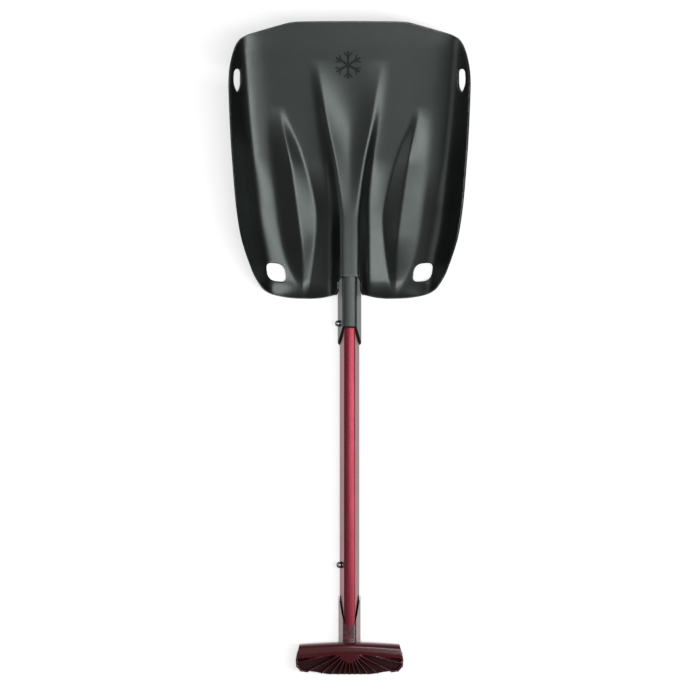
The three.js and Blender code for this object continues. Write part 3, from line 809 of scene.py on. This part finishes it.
@dataclass
class Blade:
    """The pressed blade: ridge and arms, two ribs, side wings, four holes and a cut-out for the socket."""

    length: float = 292.6
    sheet: float = 2.0
    heel: float = 18.0
    heel_front: float = 0.95
    floor_rise: float = 50.0
    lip_rise: float = 2.5
    ridge_top: float = 27.0
    ridge_end: float = 87.0
    arm_end: float = 252.0
    rib_rise: float = 7.5
    foot_rise: float = 4.5
    wing_tip_rise: float = 0.8
    wing_slope: float = 1.73
    channel_hollow: float = 0.75
    columns: int = 190
    rows: int = 204
    bends: tuple[float, ...] = (4, 1.3, 2.8, 1.1, 1.2, 4, 6)
    rivet_stations: tuple[float, ...] = (42, 72)
    rim_rounding: float = 0.4
    rest_gap: float = 0.06
    rib_rises: Point = (-4, 70)
    rib_falls: Point = (140, 205)
    foot_falls: Point = (95, 150)
    wing_fades: Point = (255, 290)
    slope_eases: Point = (262, 290)
    wall_overhang: float = 1.72
    tip_inset: float = 0.45
    arm_crest: tuple[Point, ...] = (
        (0, 9.5), (60, 9.5), (95, 9.6), (146, 16), (188, 24.4), (252, 35), (300, 42))
    arm_foot: tuple[Point, ...] = (
        (0, 19), (60, 19), (103, 20.2), (146, 25.4), (188, 32.4), (252, 43), (300, 50))
    inner_valley: tuple[Point, ...] = (
        (0, 45), (10, 43.5), (56, 37.6), (88, 35.5), (114.5, 39.8), (157, 52.5), (196, 67), (300, 77))
    rib_crest: tuple[Point, ...] = (
        (0, 49.5), (51, 50.5), (104, 57), (146, 63), (200, 73.5), (300, 85))
    outer_valley: tuple[Point, ...] = (
        (0, 52), (13, 55), (40, 66.8), (82, 75.6), (146, 82), (188, 87), (300, 98))
    wing_foot: tuple[Point, ...] = (
        (0, 84), (13, 86), (40, 90), (82, 97.5), (146, 103.9), (188, 108.1), (268, 114), (300, 117))
    wing_edge: tuple[Point, ...] = (
        (0, 76), (5.8, 85.3), (14.3, 95.3), (29.2, 103.6), (71.6, 116.4), (145.8, 124.1),
        (220, 127.6), (241, 126.7), (262.4, 122.1), (273, 116.3), (300, 112))
    rear_edge: tuple[Point, ...] = (
        (0, 3.6), (15.5, 3.6), (30, 0.8), (47.7, 0), (70.5, 1.6), (85.3, 5.8), (95.3, 14.3))
    side_edge: tuple[Point, ...] = (
        (1.6, 70.5), (5.8, 85.3), (14.3, 95.3), (29.2, 103.6), (71.6, 116.4), (145.8, 124.1),
        (220, 127.6), (241, 126.7), (262.4, 122.1), (273, 116.3), (277.4, 110.5))
    tip_edge: tuple[Point, ...] = (
        (0, 292.6), (50, 292.2), (62, 291.4), (70, 289.6), (104, 280), (110.5, 277.4),
        (116.3, 273), (122.1, 262.4))
    cut_out: tuple[Corner, ...] = (
        (17.5, -8, 0.5), (15.2, 3.6, 2), (12.7, 9, 3), (12.7, 22.2, 6), (0, 23.6, 4),
        (-12.7, 22.2, 6), (-12.7, 9, 3), (-15.2, 3.6, 2), (-17.5, -8, 0.5))
    rear_hole: tuple[Corner, ...] = (
        (67.2, 17.6, 6), (87.0, 19.0, 12), (89.0, 38.0, 6), (69.2, 36.8, 12))
    tip_hole: tuple[Corner, ...] = (
        (114.6, 222, 6), (118.6, 216.6, 1.2), (122.6, 226, 7), (121.4, 241.6, 5), (114.4, 241.6, 5))

    @property
    def rear_y(self) -> float:
        """The rear edge's place along the shaft."""
        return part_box("blade")[1].y / MM - self.length

    def floor(self, s: float) -> float:
        """Return the floor's front height at a station."""
        climb = max(0.0, (s - self.heel) / (self.length - self.heel))
        curl = max(0.0, (self.heel - s) / self.heel)
        return self.heel_front + self.floor_rise * climb**1.25 + self.lip_rise * curl**2

    def creases(self, s: float) -> list[Point]:
        """Return (distance from the middle, height) of each crease at a station, and of the edge."""
        floor = self.floor(s)
        softness = 3.0
        middle = floor + softness * math.log1p(math.exp((self.ridge_top - floor) / softness))
        crest = self.ridge_top
        if s >= self.ridge_end:
            left = clamp01((self.arm_end - s) / (self.arm_end - self.ridge_end))
            crest = floor + (self.ridge_top - self.floor(self.ridge_end)) * left**1.3
        ribs = ramp(*self.rib_rises, s) * (1 - ramp(*self.rib_falls, s))
        past_heel = ramp(*self.foot_falls, s)
        wing = mix(self.foot_rise, self.wing_tip_rise, past_heel) * ramp(0, self.heel, s)
        wing_z = floor + wing * (1 - ramp(*self.wing_fades, s))
        wing_x = along(self.wing_foot, s)
        edge_x = max(along(self.wing_edge, s), wing_x + 2)
        slope = self.wing_slope * (1 - 0.5 * ramp(*self.slope_eases, s))
        return [
            (0, middle),
            (along(self.arm_crest, s), crest),
            (along(self.arm_foot, s), floor + self.foot_rise * (1 - past_heel)),
            (along(self.inner_valley, s), floor),
            (along(self.rib_crest, s), floor + self.rib_rise * ribs),
            (along(self.outer_valley, s), floor),
            (wing_x, wing_z),
            (edge_x, wing_z + slope * (edge_x - wing_x)),
        ]

    def height(self, x: float, line: Sequence[Point]) -> float:
        """Return the front's height at a distance from the middle, for one station's creases."""
        slopes = [(b[1] - a[1]) / (b[0] - a[0]) for a, b in zip(line, line[1:])]
        across = abs(x)
        crest_x, rise = line[1][0], line[1][1] - line[0][1]
        hollow = self.channel_hollow * crest_x
        reach = math.hypot(crest_x, hollow) - hollow
        slopes[0] = rise / reach * crest_x / math.hypot(crest_x, hollow)
        z = line[0][1] + rise * (math.hypot(min(across, crest_x), hollow) - hollow) / reach
        z += slopes[0] * max(0.0, across - crest_x)
        for k in range(1, len(slopes)):
            past = across - line[k][0]
            z += (slopes[k] - slopes[k - 1]) * (past + math.hypot(past, self.bends[k])) / 2
        return z

    def plan(self, u: float, v: float) -> Point:
        """Return the place of a point of the flat blank.

        Args:
            u: from -1 at the left edge to 1 at the right edge.
            v: from 0 at the rear edge to 1 at the tip.

        Returns:
            Its distance from the middle, with its sign, and its station.
        """
        part = abs(u)
        first, last = self.side_edge[1], self.side_edge[-2]
        station = mix(first[0], last[0], v)
        overhang = self.wall_overhang * ramp(4, 20, station) * (1 - 0.6 * ramp(262, 275, station))
        side = (along(self.side_edge, station) - overhang, station)
        rear_x, tip_x = first[1] * part, last[1] * part
        rear = (rear_x, along(self.rear_edge, rear_x))
        tip = (tip_x, along(self.tip_edge, tip_x) - self.tip_inset)
        rear_middle, tip_middle = self.rear_edge[0][1], self.tip_edge[0][1] - self.tip_inset
        middle = (0, mix(rear_middle, tip_middle, v))
        corners = ((0, rear_middle), (first[1], first[0]), (0, tip_middle), (last[1], last[0]))
        place = [
            (1 - v) * rear[k] + v * tip[k] + (1 - part) * middle[k] + part * side[k]
            - (1 - part) * (1 - v) * corners[0][k] - part * (1 - v) * corners[1][k]
            - (1 - part) * v * corners[2][k] - part * v * corners[3][k]
            for k in (0, 1)]
        return math.copysign(place[0], u), place[1]

    def openings(self) -> Iterable[list[Vector]]:
        """Yield the outline of each hole and of the socket's cut-out, in the flat blank."""
        yield rounded_polygon(self.cut_out)
        for corners in (self.rear_hole, self.tip_hole):
            for side in (-1, 1):
                yield rounded_polygon([(side * x, s, radius) for x, s, radius in corners])

    @staticmethod
    def trim(mesh: bmesh.types.BMesh, outline: list[Vector]) -> None:
        """Cut an opening in the flat blank and draw its rim onto the outline."""
        low = Vector(map(min, zip(*outline)))
        high = Vector(map(max, zip(*outline)))
        near = [v for v in mesh.verts if low.x <= v.co.x <= high.x and low.y <= v.co.y <= high.y]
        lost = {v for v in near if inside(outline, v.co.xy)}
        rim = {v for lost_vert in lost for face in lost_vert.link_faces for v in face.verts} - lost
        beside = {v for rim_vert in rim for edge in rim_vert.link_edges for v in edge.verts} - lost - rim
        beside = {v for v in beside if not v.is_boundary}
        bmesh.ops.delete(mesh, geom=list(lost), context="VERTS")
        for vert in rim:
            vert.co.xy = nearest(outline, vert.co.xy)
        for _ in range(3):
            bmesh.ops.smooth_vert(mesh, verts=list(beside), factor=0.5,
                                  use_axis_x=True, use_axis_y=True)

    def build(self, finishes: Finishes) -> None:
        """Press the blade out of a flat blank.

        Args:
            finishes: the shovel's finishes.
        """
        mesh = bmesh.new()
        bmesh.ops.create_grid(mesh, x_segments=self.columns, y_segments=self.rows, size=1.0)
        for vert in mesh.verts:
            x, s = self.plan(vert.co.x, (vert.co.y + 1) / 2)
            vert.co = (x, s, 0)
        for outline in self.openings():
            self.trim(mesh, outline)
        rear_y = self.rear_y
        for vert in mesh.verts:
            vert.co.z = self.height(vert.co.x, self.creases(vert.co.y))
            vert.co.y += rear_y
        bmesh.ops.recalc_face_normals(mesh, faces=mesh.faces)
        if sum(face.normal.z for face in mesh.faces) < 0:
            bmesh.ops.reverse_faces(mesh, faces=mesh.faces)
        walled(mesh, self.sheet)
        for vert in mesh.verts:
            vert.co.z = max(vert.co.z, self.rest_gap)
        soften_edges(mesh, self.rim_rounding)
        blade = make_object("pressed_blade", mesh, finishes.blade)
        settle(blade, Body.BLADE, Slot.BLADE, "blade")


# ---------------------------------------------------------------- socket


@dataclass
class Socket:
    """The socket tube in the blade's ridge, its bush and its two flush rivets."""

    outside: float = 2.1
    wall: float = 1.2
    mouth_front_y: float = 24.5
    mouth_back_y: float = 4.0
    bush_proud: float = 0.8
    rim_outside: float = 1.3
    bush_wall: float = 0.5
    bush_outside: float = 0.7
    button_y: float = 27.5
    button_z: float = 9.8
    hole_radius: float = 3.8
    rivet_head: float = 3.6
    rivet_shank: float = 2.0
    rivet_depth: float = 0.9
    mouth_rounding: float = 0.22

    def button_drill(self, y: float) -> bmesh.types.BMesh:
        """Return the cutter for a button's hole, at a station of the shaft."""
        mesh = bmesh.new()
        bmesh.ops.create_cone(mesh, cap_ends=True, segments=40, radius1=self.hole_radius,
                              radius2=self.hole_radius, depth=12,
                              matrix=SECTION.out_of_left_side(y, self.button_z))
        return mesh

    def build_tube(self, finishes: Finishes) -> None:
        """Build the socket tube."""
        low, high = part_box("socket_tube")
        mesh = SECTION.shell(self.outside, low.y / MM - 25, high.y / MM)
        slanted_cut(mesh, self.mouth_back_y, self.mouth_front_y, keep_tip_side=True)
        walled(mesh, self.wall)
        soften_edges(mesh, self.mouth_rounding)
        tube = make_object("socket_sleeve", mesh, finishes.socket)
        cut_away(tube, self.button_drill(self.button_y))
        flat_faces_stay_flat(tube)
        settle(tube, Body.BLADE, Slot.BLADE, "socket_tube")

    def build_bush(self, finishes: Finishes) -> None:
        """Build the bush's sleeve and the rim that covers the socket's mouth."""
        high_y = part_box("socket_bush")[1].y / MM
        back, front = self.mouth_back_y - self.bush_proud, self.mouth_front_y - self.bush_proud
        sleeve = SECTION.shell(self.bush_outside, -30, high_y)
        slanted_cut(sleeve, back, front, keep_tip_side=True)
        walled(sleeve, self.bush_wall)
        bush = make_object("bush_sleeve", sleeve, finishes.nylon)
        cut_away(bush, self.button_drill(self.button_y))
        rim = SECTION.shell(self.rim_outside, -30, 40)
        slanted_cut(rim, back, front, keep_tip_side=True)
        slanted_cut(rim, self.mouth_back_y - 0.1, self.mouth_front_y - 0.1, keep_tip_side=False)
        walled(rim, self.rim_outside - 0.25)
        soften_edges(rim, 0.2)
        rim_piece = make_object("bush_rim", rim, finishes.nylon)
        flat_faces_stay_flat(bush)
        settle(bush, Body.BLADE, Slot.NYLON, "socket_bush")
        flat_faces_stay_flat(rim_piece)
        settle(rim_piece, Body.BLADE, Slot.NYLON)

    def build_rivets(self, finishes: Finishes, stations: Sequence[float], rear_y: float) -> None:
        """Build the rivets, whose heads are filled over so that the ridge is smooth."""
        for number, station in enumerate(stations, 1):
            low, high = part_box(f"socket_rivet_{number}")
            top, foot = high.z / MM - self.rivet_depth, low.z / MM
            head = self.rivet_head
            mesh = spun([(0, foot), (self.rivet_shank, foot), (self.rivet_shank, top - 1.5),
                         (head, top - 0.12), (head - 0.12, top), (1.1, top),
                         (0.9, top - 0.25), (0, top - 0.25)])
            bmesh.ops.translate(mesh, vec=(0, rear_y + station, 0), verts=mesh.verts)
            rivet = make_object(f"flush_rivet_{number}", mesh, finishes.blade, 30)
            settle(rivet, Body.BLADE, Slot.BLADE, f"socket_rivet_{number}")


# ---------------------------------------------------------------- shaft and buttons


@dataclass
class Shaft:
    """The sliding shaft tube with its two button holes and its end plug."""

    wall: float = 1.3
    lower_button_y: float = 27.5
    upper_button_y: float = -230.0

    def build(self, finishes: Finishes, socket: Socket) -> None:
        """Build the tube, and the plug in its upper end."""
        low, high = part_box("shaft_tube")
        mesh = SECTION.shell(0, low.y / MM, high.y / MM)
        walled(mesh, self.wall)
        soften_edges(mesh, 0.2)
        tube = make_object("sliding_shaft", mesh, finishes.shaft)
        for y in (self.lower_button_y, self.upper_button_y):
            cut_away(tube, socket.button_drill(y))
        flat_faces_stay_flat(tube)
        settle(tube, Body.SHAFT, Slot.SHAFT, "shaft_tube")

        plug_low, plug_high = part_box("shaft_end_plug")
        cap_y = high.y / MM + 0.25
        cap = SECTION.solid(-0.2, cap_y, plug_high.y / MM)
        soften_edges(cap, 0.6, segments=3)
        spigot = SECTION.solid(-self.wall - 0.2, plug_low.y / MM, cap_y + 0.5)
        plug = make_object("end_plug_cap", cap, finishes.nylon)
        inner = make_object("end_plug_spigot", spigot, finishes.nylon)
        flat_faces_stay_flat(plug)
        settle(plug, Body.SHAFT, Slot.NYLON, "shaft_end_plug")
        flat_faces_stay_flat(inner)
        settle(inner, Body.SHAFT, Slot.NYLON)


@dataclass
class Button:
    """A domed snap button in the shaft's left side."""

    name: str
    node: str
    body: Body
    y: float
    out: float
    z: float = 9.8
    radius: float = 3.4
    foot: float = -1.55

    def build(self, finishes: Finishes) -> None:
        """Spin the button's stud and dome, and set it in the shaft's side."""
        dome_base = self.out - self.radius * 0.9
        profile = [(0, self.foot), (self.radius - 0.2, self.foot), (self.radius, self.foot + 0.2),
                   (self.radius, dome_base)]
        steps = 14
        for k in range(1, steps + 1):
            angle = math.pi / 2 * k / steps
            profile.append((self.radius * math.cos(angle) if k < steps else 0,
                            dome_base + (self.out - dome_base) * math.sin(angle)))
        mesh = spun(profile)
        place = SECTION.out_of_left_side(self.y, self.z)
        bmesh.ops.transform(mesh, matrix=place, verts=mesh.verts)
        button = make_object(self.name, mesh, finishes.chrome, 50)
        settle(button, self.body, Slot.CHROME, self.node)


@dataclass
class LockSpring:
    """A hairpin leaf spring that stands beside its button."""

    name: str
    node: str
    button: Body
    y: float
    z: float = 9.8
    depth: float = 1.8
    length: float = 44.0
    spread: float = 11.0
    width: float = 5.0
    sheet: float = 0.6
    near_end: float = 5.0
    far_end: float = 2.0
    leg_cuts: int = 30
    bend_cuts: int = 14

    def strip(self) -> bmesh.types.BMesh:
        """Return the bent strip, with its own +Z towards the button and its +Y along the shaft."""
        radius = self.spread / 2
        turn_y = radius - self.length
        path = [(mix(self.near_end, turn_y, k / self.leg_cuts), -self.depth)
                for k in range(self.leg_cuts)]
        for k in range(self.bend_cuts + 1):
            angle = math.pi * k / self.bend_cuts
            path.append((turn_y - radius * math.sin(angle),
                         -self.depth - radius * (1 - math.cos(angle))))
        path.append((self.far_end, -self.depth - self.spread))
        mesh = bmesh.new()
        verts = [mesh.verts.new((-self.width / 2, y, z)) for y, z in path]
        edges = [mesh.edges.new(pair) for pair in zip(verts, verts[1:])]
        grown = bmesh.ops.extrude_edge_only(mesh, edges=edges)["geom"]
        moved = [v for v in grown if isinstance(v, bmesh.types.BMVert)]
        bmesh.ops.translate(mesh, vec=(self.width, 0, 0), verts=moved)
        mesh.normal_update()
        if max(mesh.faces, key=lambda face: face.calc_center_median().z).normal.z < 0:
            bmesh.ops.reverse_faces(mesh, faces=mesh.faces)
        walled(mesh, self.sheet)
        soften_edges(mesh, 0.12, segments=1)
        return mesh

    def build(self, finishes: Finishes) -> None:
        """Bend the spring and set it beside its button."""
        mesh = self.strip()
        place = SECTION.out_of_left_side(self.y, self.z)
        bmesh.ops.transform(mesh, matrix=place, verts=mesh.verts)
        spring = make_object(self.name, mesh, finishes.steel)
        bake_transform(spring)
        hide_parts(self.node)
        log.info("%s: %d faces", spring.name, len(spring.data.polygons))


# ---------------------------------------------------------------- grip


@dataclass
class Grip:
    """The T-grip: a smooth bar for the fingers, a ribbed palm side and a sleeve for the shaft."""

    top_y: float = -311.5
    end_y: float = -346.9
    thick: float = 27.0
    top_half: float = 53.4
    wide_half: float = 57.3
    rib_count: int = 13
    rib_width: float = 1.5
    rib_spread: float = 152.0
    hub_y: float = -320.0
    neck_outside: float = 1.3
    neck_wall: float = 1.05
    neck_front_y: float = -294.0
    neck_back_y: float = -262.0
    voxel: float = 0.62
    pin_hole_radius: float = 2.25
    hub_half: tuple[float, float] = (14.0, 9.0)
    bar_depth: float = 14.5
    end_curve: tuple[Point, ...] = (
        (0, 14), (0.8, 24), (2.2, 33), (3.6, 40), (4.8, 51), (8, 55.5), (12, 57.3), (18, 57))

    def plan_half(self, y: float) -> float:
        """Return how far the wings reach from the middle at a place along the shaft."""
        wings = [(self.end_y + above_end, half) for above_end, half in self.end_curve]
        return along([*wings, (self.top_y - 6, self.top_half + 1), (self.top_y, 48)], y)

    def bar(self) -> bmesh.types.BMesh:
        """Return the smooth bar: a rounded section that thins towards its two ends."""
        mesh = bmesh.new()
        bmesh.ops.create_cube(mesh, size=2)

        def along_x() -> list[bmesh.types.BMEdge]:
            """Return the edges that run along the bar."""
            return [e for e in mesh.edges if abs(e.verts[0].co.x - e.verts[1].co.x) > 0.01]

        bmesh.ops.subdivide_edges(mesh, edges=along_x(), cuts=24)
        bmesh.ops.bevel(mesh, geom=along_x(), offset=0.62, segments=8, profile=0.5,
                        affect="EDGES", material=-1)
        for vert in mesh.verts:
            x, y, z = vert.co
            across = x * self.wide_half
            thin = 1 - 0.2 * abs(x) ** 1.6
            droop = abs(x) ** 1.5
            low_y = self.top_y - self.bar_depth - 4.5 * droop
            back_y = mix(low_y, self.top_y - 2.6 * droop, (y + 1) / 2)
            lean = mix(self.wide_half, self.top_half, clamp01((y + 1) / 2)) / self.wide_half
            vert.co = (across * lean, back_y, self.thick / 2 * (1 + z * thin))
        bmesh.ops.recalc_face_normals(mesh, faces=mesh.faces)
        return mesh

    def web(self) -> bmesh.types.BMesh:
        """Return the flat web between the ribs, drawn to the grip's own outline."""
        half_thick = 3
        web = bmesh.new()
        bmesh.ops.create_grid(web, x_segments=60, y_segments=20, size=1)
        for vert in web.verts:
            y = mix(self.end_y + 0.8, self.top_y - 12, (vert.co.y + 1) / 2)
            vert.co = (vert.co.x * (self.plan_half(y) - 1.2), y, self.thick / 2 - half_thick)
        pulled_out(web, (0, 0, 2 * half_thick))
        return web

    def build_moulding(self, finishes: Finishes) -> None:
        """Join bar, web, ribs, end walls and hub into one moulding with soft inner corners."""
        mesh = self.bar()
        for part in (self.web(), self.ribs(), self.hub()):
            take_in(mesh, part)
        grip = make_object("grip_moulding", mesh, finishes.grip, 180)
        remesh = grip.modifiers.new("join", "REMESH")
        remesh.mode = "VOXEL"
        remesh.voxel_size = self.voxel * MM
        remesh.adaptivity = 0
        bake_modifiers(grip)
        self.relax(grip, passes=3)
        socket = SECTION.solid(0.25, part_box("shaft_tube")[0].y / MM - 0.25, self.neck_back_y)
        cut_away(grip, socket)
        pin_low, pin_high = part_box("grip_pin")
        pin_y, pin_top = (pin_low.y + pin_high.y) / 2 / MM, pin_high.z / MM
        drill = bmesh.new()
        bmesh.ops.create_cone(drill, cap_ends=True, segments=32, radius1=self.pin_hole_radius,
                              radius2=self.pin_hole_radius, depth=pin_top + 3,
                              matrix=Matrix.Translation((0, pin_y, pin_top / 2 - 1)))
        cut_away(grip, drill)
        grip.data.set_sharp_from_angle(angle=math.radians(60))
        settle(grip, Body.SHAFT, Slot.GRIP, "grip_body")

    def rib(self, angle: float) -> bmesh.types.BMesh:
        """Return one rib, which runs out from the hub at an angle and gets lower on its way."""
        ray = Vector((math.cos(angle), math.sin(angle)))
        step, length, longest = 0.5, 4.0, 70
        while length < longest:
            spot = Vector((0, self.hub_y)) + ray * length
            if spot.y < self.end_y + 0.9 or abs(spot.x) > self.plan_half(spot.y) - 1:
                break
            length += step
        near_half, far_half = self.thick / 2 - 0.6, self.thick / 2 - 5.2
        blank = bmesh.new()
        bmesh.ops.create_grid(blank, x_segments=16, y_segments=1, size=1)
        for vert in blank.verts:
            share = (vert.co.x + 1) / 2
            vert.co = (share * length, 0, vert.co.y * mix(near_half, far_half, share**1.8))
        bmesh.ops.translate(blank, vec=(0, -self.rib_width / 2, 0), verts=blank.verts)
        pulled_out(blank, (0, self.rib_width, 0))
        hub = Matrix.Translation((0, self.hub_y, self.thick / 2))
        bmesh.ops.transform(blank, matrix=hub @ Matrix.Rotation(angle, 4, "Z"), verts=blank.verts)
        return blank

    def ribs(self) -> bmesh.types.BMesh:
        """Return the ribs that fan out from the hub, trimmed to the palm edge, and the end walls."""
        mesh = bmesh.new()
        spread = math.radians(self.rib_spread)
        for number in range(self.rib_count):
            angle = -math.pi / 2 + spread * (number / (self.rib_count - 1) - 0.5)
            take_in(mesh, self.rib(angle))
        stations = (self.top_y - 12, *(self.end_y + above for above in (16, 10, 5.4, 4.2)))
        steps = [(y, self.plan_half(y)) for y in stations]
        wall, wall_height, overlap, inset = 2.4, self.thick - 10.6, 2.5, 1.1
        for side in (-1, 1):
            for (y0, x0), (y1, x1) in zip(steps, steps[1:]):
                run = Vector((side * (x1 - x0), y1 - y0))
                spot = Vector((side * ((x0 + x1) / 2 - inset), (y0 + y1) / 2, self.thick / 2))
                turn = Matrix.Rotation(math.atan2(run.y, run.x), 4, "Z")
                size = Matrix.Diagonal((run.length + overlap, wall, wall_height, 1))
                bmesh.ops.create_cube(mesh, size=1, matrix=Matrix.Translation(spot) @ turn @ size)
        return mesh

    def hub(self) -> bmesh.types.BMesh:
        """Return the swelling where the neck meets the bar."""
        mesh = bmesh.new()
        bmesh.ops.create_uvsphere(mesh, u_segments=40, v_segments=24, radius=1)
        bmesh.ops.scale(mesh, vec=(*self.hub_half, self.thick / 2), verts=mesh.verts)
        bmesh.ops.translate(mesh, vec=(0, self.top_y - 8.5, self.thick / 2), verts=mesh.verts)
        take_in(mesh, SECTION.solid(self.neck_outside + 0.1, self.top_y - 12, self.top_y + 4))
        return mesh

    @staticmethod
    def relax(piece: bpy.types.Object, passes: int) -> None:
        """Smooth the moulding's surface a little, as a mould's radii do."""
        mesh = bmesh.new()
        mesh.from_mesh(piece.data)
        for _ in range(passes):
            bmesh.ops.smooth_vert(mesh, verts=mesh.verts, factor=0.5,
                                  use_axis_x=True, use_axis_y=True, use_axis_z=True)
        mesh.to_mesh(piece.data)
        mesh.free()
        piece.data.shade_smooth()

    def build_neck(self, finishes: Finishes) -> None:
        """Build the thin sleeve that holds the shaft, with its U-shaped mouth."""
        front, back = self.neck_front_y, self.neck_back_y
        mesh = SECTION.shell(self.neck_outside, self.top_y - 6, back + 6)
        walled(mesh, self.neck_wall)
        neck = make_object("grip_neck", mesh, finishes.grip)
        line = [(15, back, 1), (11.6, back, 2), (7.9, front + 9, 8), (4.4, front, 4)]
        cut_away(neck, mouth_cutter(line, back + 60))
        flat_faces_stay_flat(neck)
        settle(neck, Body.SHAFT, Slot.GRIP)


# ---------------------------------------------------------------- carried-over nodes, stage


def dress_carried_nodes(finishes: Finishes) -> None:
    """Give the hidden pin that the model carries its finish."""
    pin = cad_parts["grip_pin"]
    pin.data.materials.clear()
    pin.data.materials.append(finishes.steel)
    log.info("grip_pin keeps its model mesh")


@dataclass
class Studio:
    """A pale floor, soft lights and the camera straight over the shovel."""

    frame_width: float = 742.0
    lens: float = 200.0
    centre: tuple[float, float, float] = (0.5, -0.8, 35.0)
    air_strength: float = 0.17
    floor_glow: float = 0.62
    floor_half: float = 6000.0
    floor_drop: float = 0.3

    def build(self) -> None:
        """Build the stage."""
        self.camera()
        self.floor()
        self.light("key", (0.98, -0.25, 2.1), (0.48, 2.2), 22.0)
        self.light("overhead", (-0.35, 0.0, 2.6), (1.2, 1.9), 2.4)
        self.light("fill", (-2.2, 0.4, 1.1), (1.2, 2.2), 7.0)
        world = bpy.data.worlds.new("studio_air")
        world.use_nodes = True
        background = world.node_tree.nodes["Background"]
        background.inputs["Color"].default_value = (1, 1, 1, 1)
        background.inputs["Strength"].default_value = self.air_strength
        bpy.context.scene.world = world
        bpy.context.scene.view_settings.view_transform = "Standard"

    def camera(self) -> None:
        """Set the camera straight over the shovel's front."""
        data = bpy.data.cameras.new("camera")
        data.lens = self.lens
        data.clip_end = 50
        camera = bpy.data.objects.new("camera", data)
        distance = self.frame_width * MM / 2 / (data.sensor_width / 2 / self.lens)
        x, y, z = (value * MM for value in self.centre)
        camera.location = (x, y, z + distance)
        bpy.context.scene.collection.objects.link(camera)
        bpy.context.scene.camera = camera

    def floor(self) -> None:
        """Lay the pale floor that the shovel lies on."""
        mesh = bmesh.new()
        bmesh.ops.create_grid(mesh, x_segments=1, y_segments=1, size=self.floor_half)
        bmesh.ops.translate(mesh, vec=(0, 0, -self.floor_drop), verts=mesh.verts)
        material = bpy.data.materials.new("pale_floor")
        material.use_nodes = True
        shader = material.node_tree.nodes["Principled BSDF"]
        shader.inputs["Base Color"].default_value = (0.9, 0.9, 0.9, 1)
        shader.inputs["Roughness"].default_value = 0.9
        shader.inputs["Emission Color"].default_value = (1, 1, 1, 1)
        shader.inputs["Emission Strength"].default_value = self.floor_glow
        floor = make_object("pale_floor", mesh, material)

    @staticmethod
    def light(name: str, place: Sequence[float], size: Point, power: float) -> None:
        """Hang one soft light that faces the shovel."""
        data = bpy.data.lights.new(name, "AREA")
        data.shape = "RECTANGLE"
        data.size, data.size_y = size
        data.energy = power
        lamp = bpy.data.objects.new(name, data)
        lamp.location = place
        lamp.rotation_euler = (-Vector(place)).to_track_quat("-Z", "Y").to_euler()
        lamp.visible_camera = False
        bpy.context.scene.collection.objects.link(lamp)


def main() -> None:
    """Build the shovel, piece by piece."""
    logging.basicConfig(level=logging.INFO, format="%(name)s: %(message)s")
    finishes = Finishes(Effects())
    Studio().build()
    blade = Blade()
    blade.build(finishes)
    socket = Socket()
    socket.build_tube(finishes)
    socket.build_bush(finishes)
    socket.build_rivets(finishes, blade.rivet_stations, blade.rear_y)
    shaft = Shaft()
    shaft.build(finishes, socket)
    locks = (("lower", Body.LOWER_BUTTON, shaft.lower_button_y, 6.5),
             ("upper", Body.UPPER_BUTTON, shaft.upper_button_y, 5.0))
    for place, body, y, out in locks:
        Button(f"{place}_button_dome", f"{place}_lock_button", body, y, out).build(finishes)
    for place, body, y, _ in locks:
        LockSpring(f"{place}_hairpin_spring", f"{place}_lock_spring", body, y).build(finishes)
    grip = Grip()
    grip.build_moulding(finishes)
    grip.build_neck(finishes)
    dress_carried_nodes(finishes)


if __name__ == "__main__":
    main()
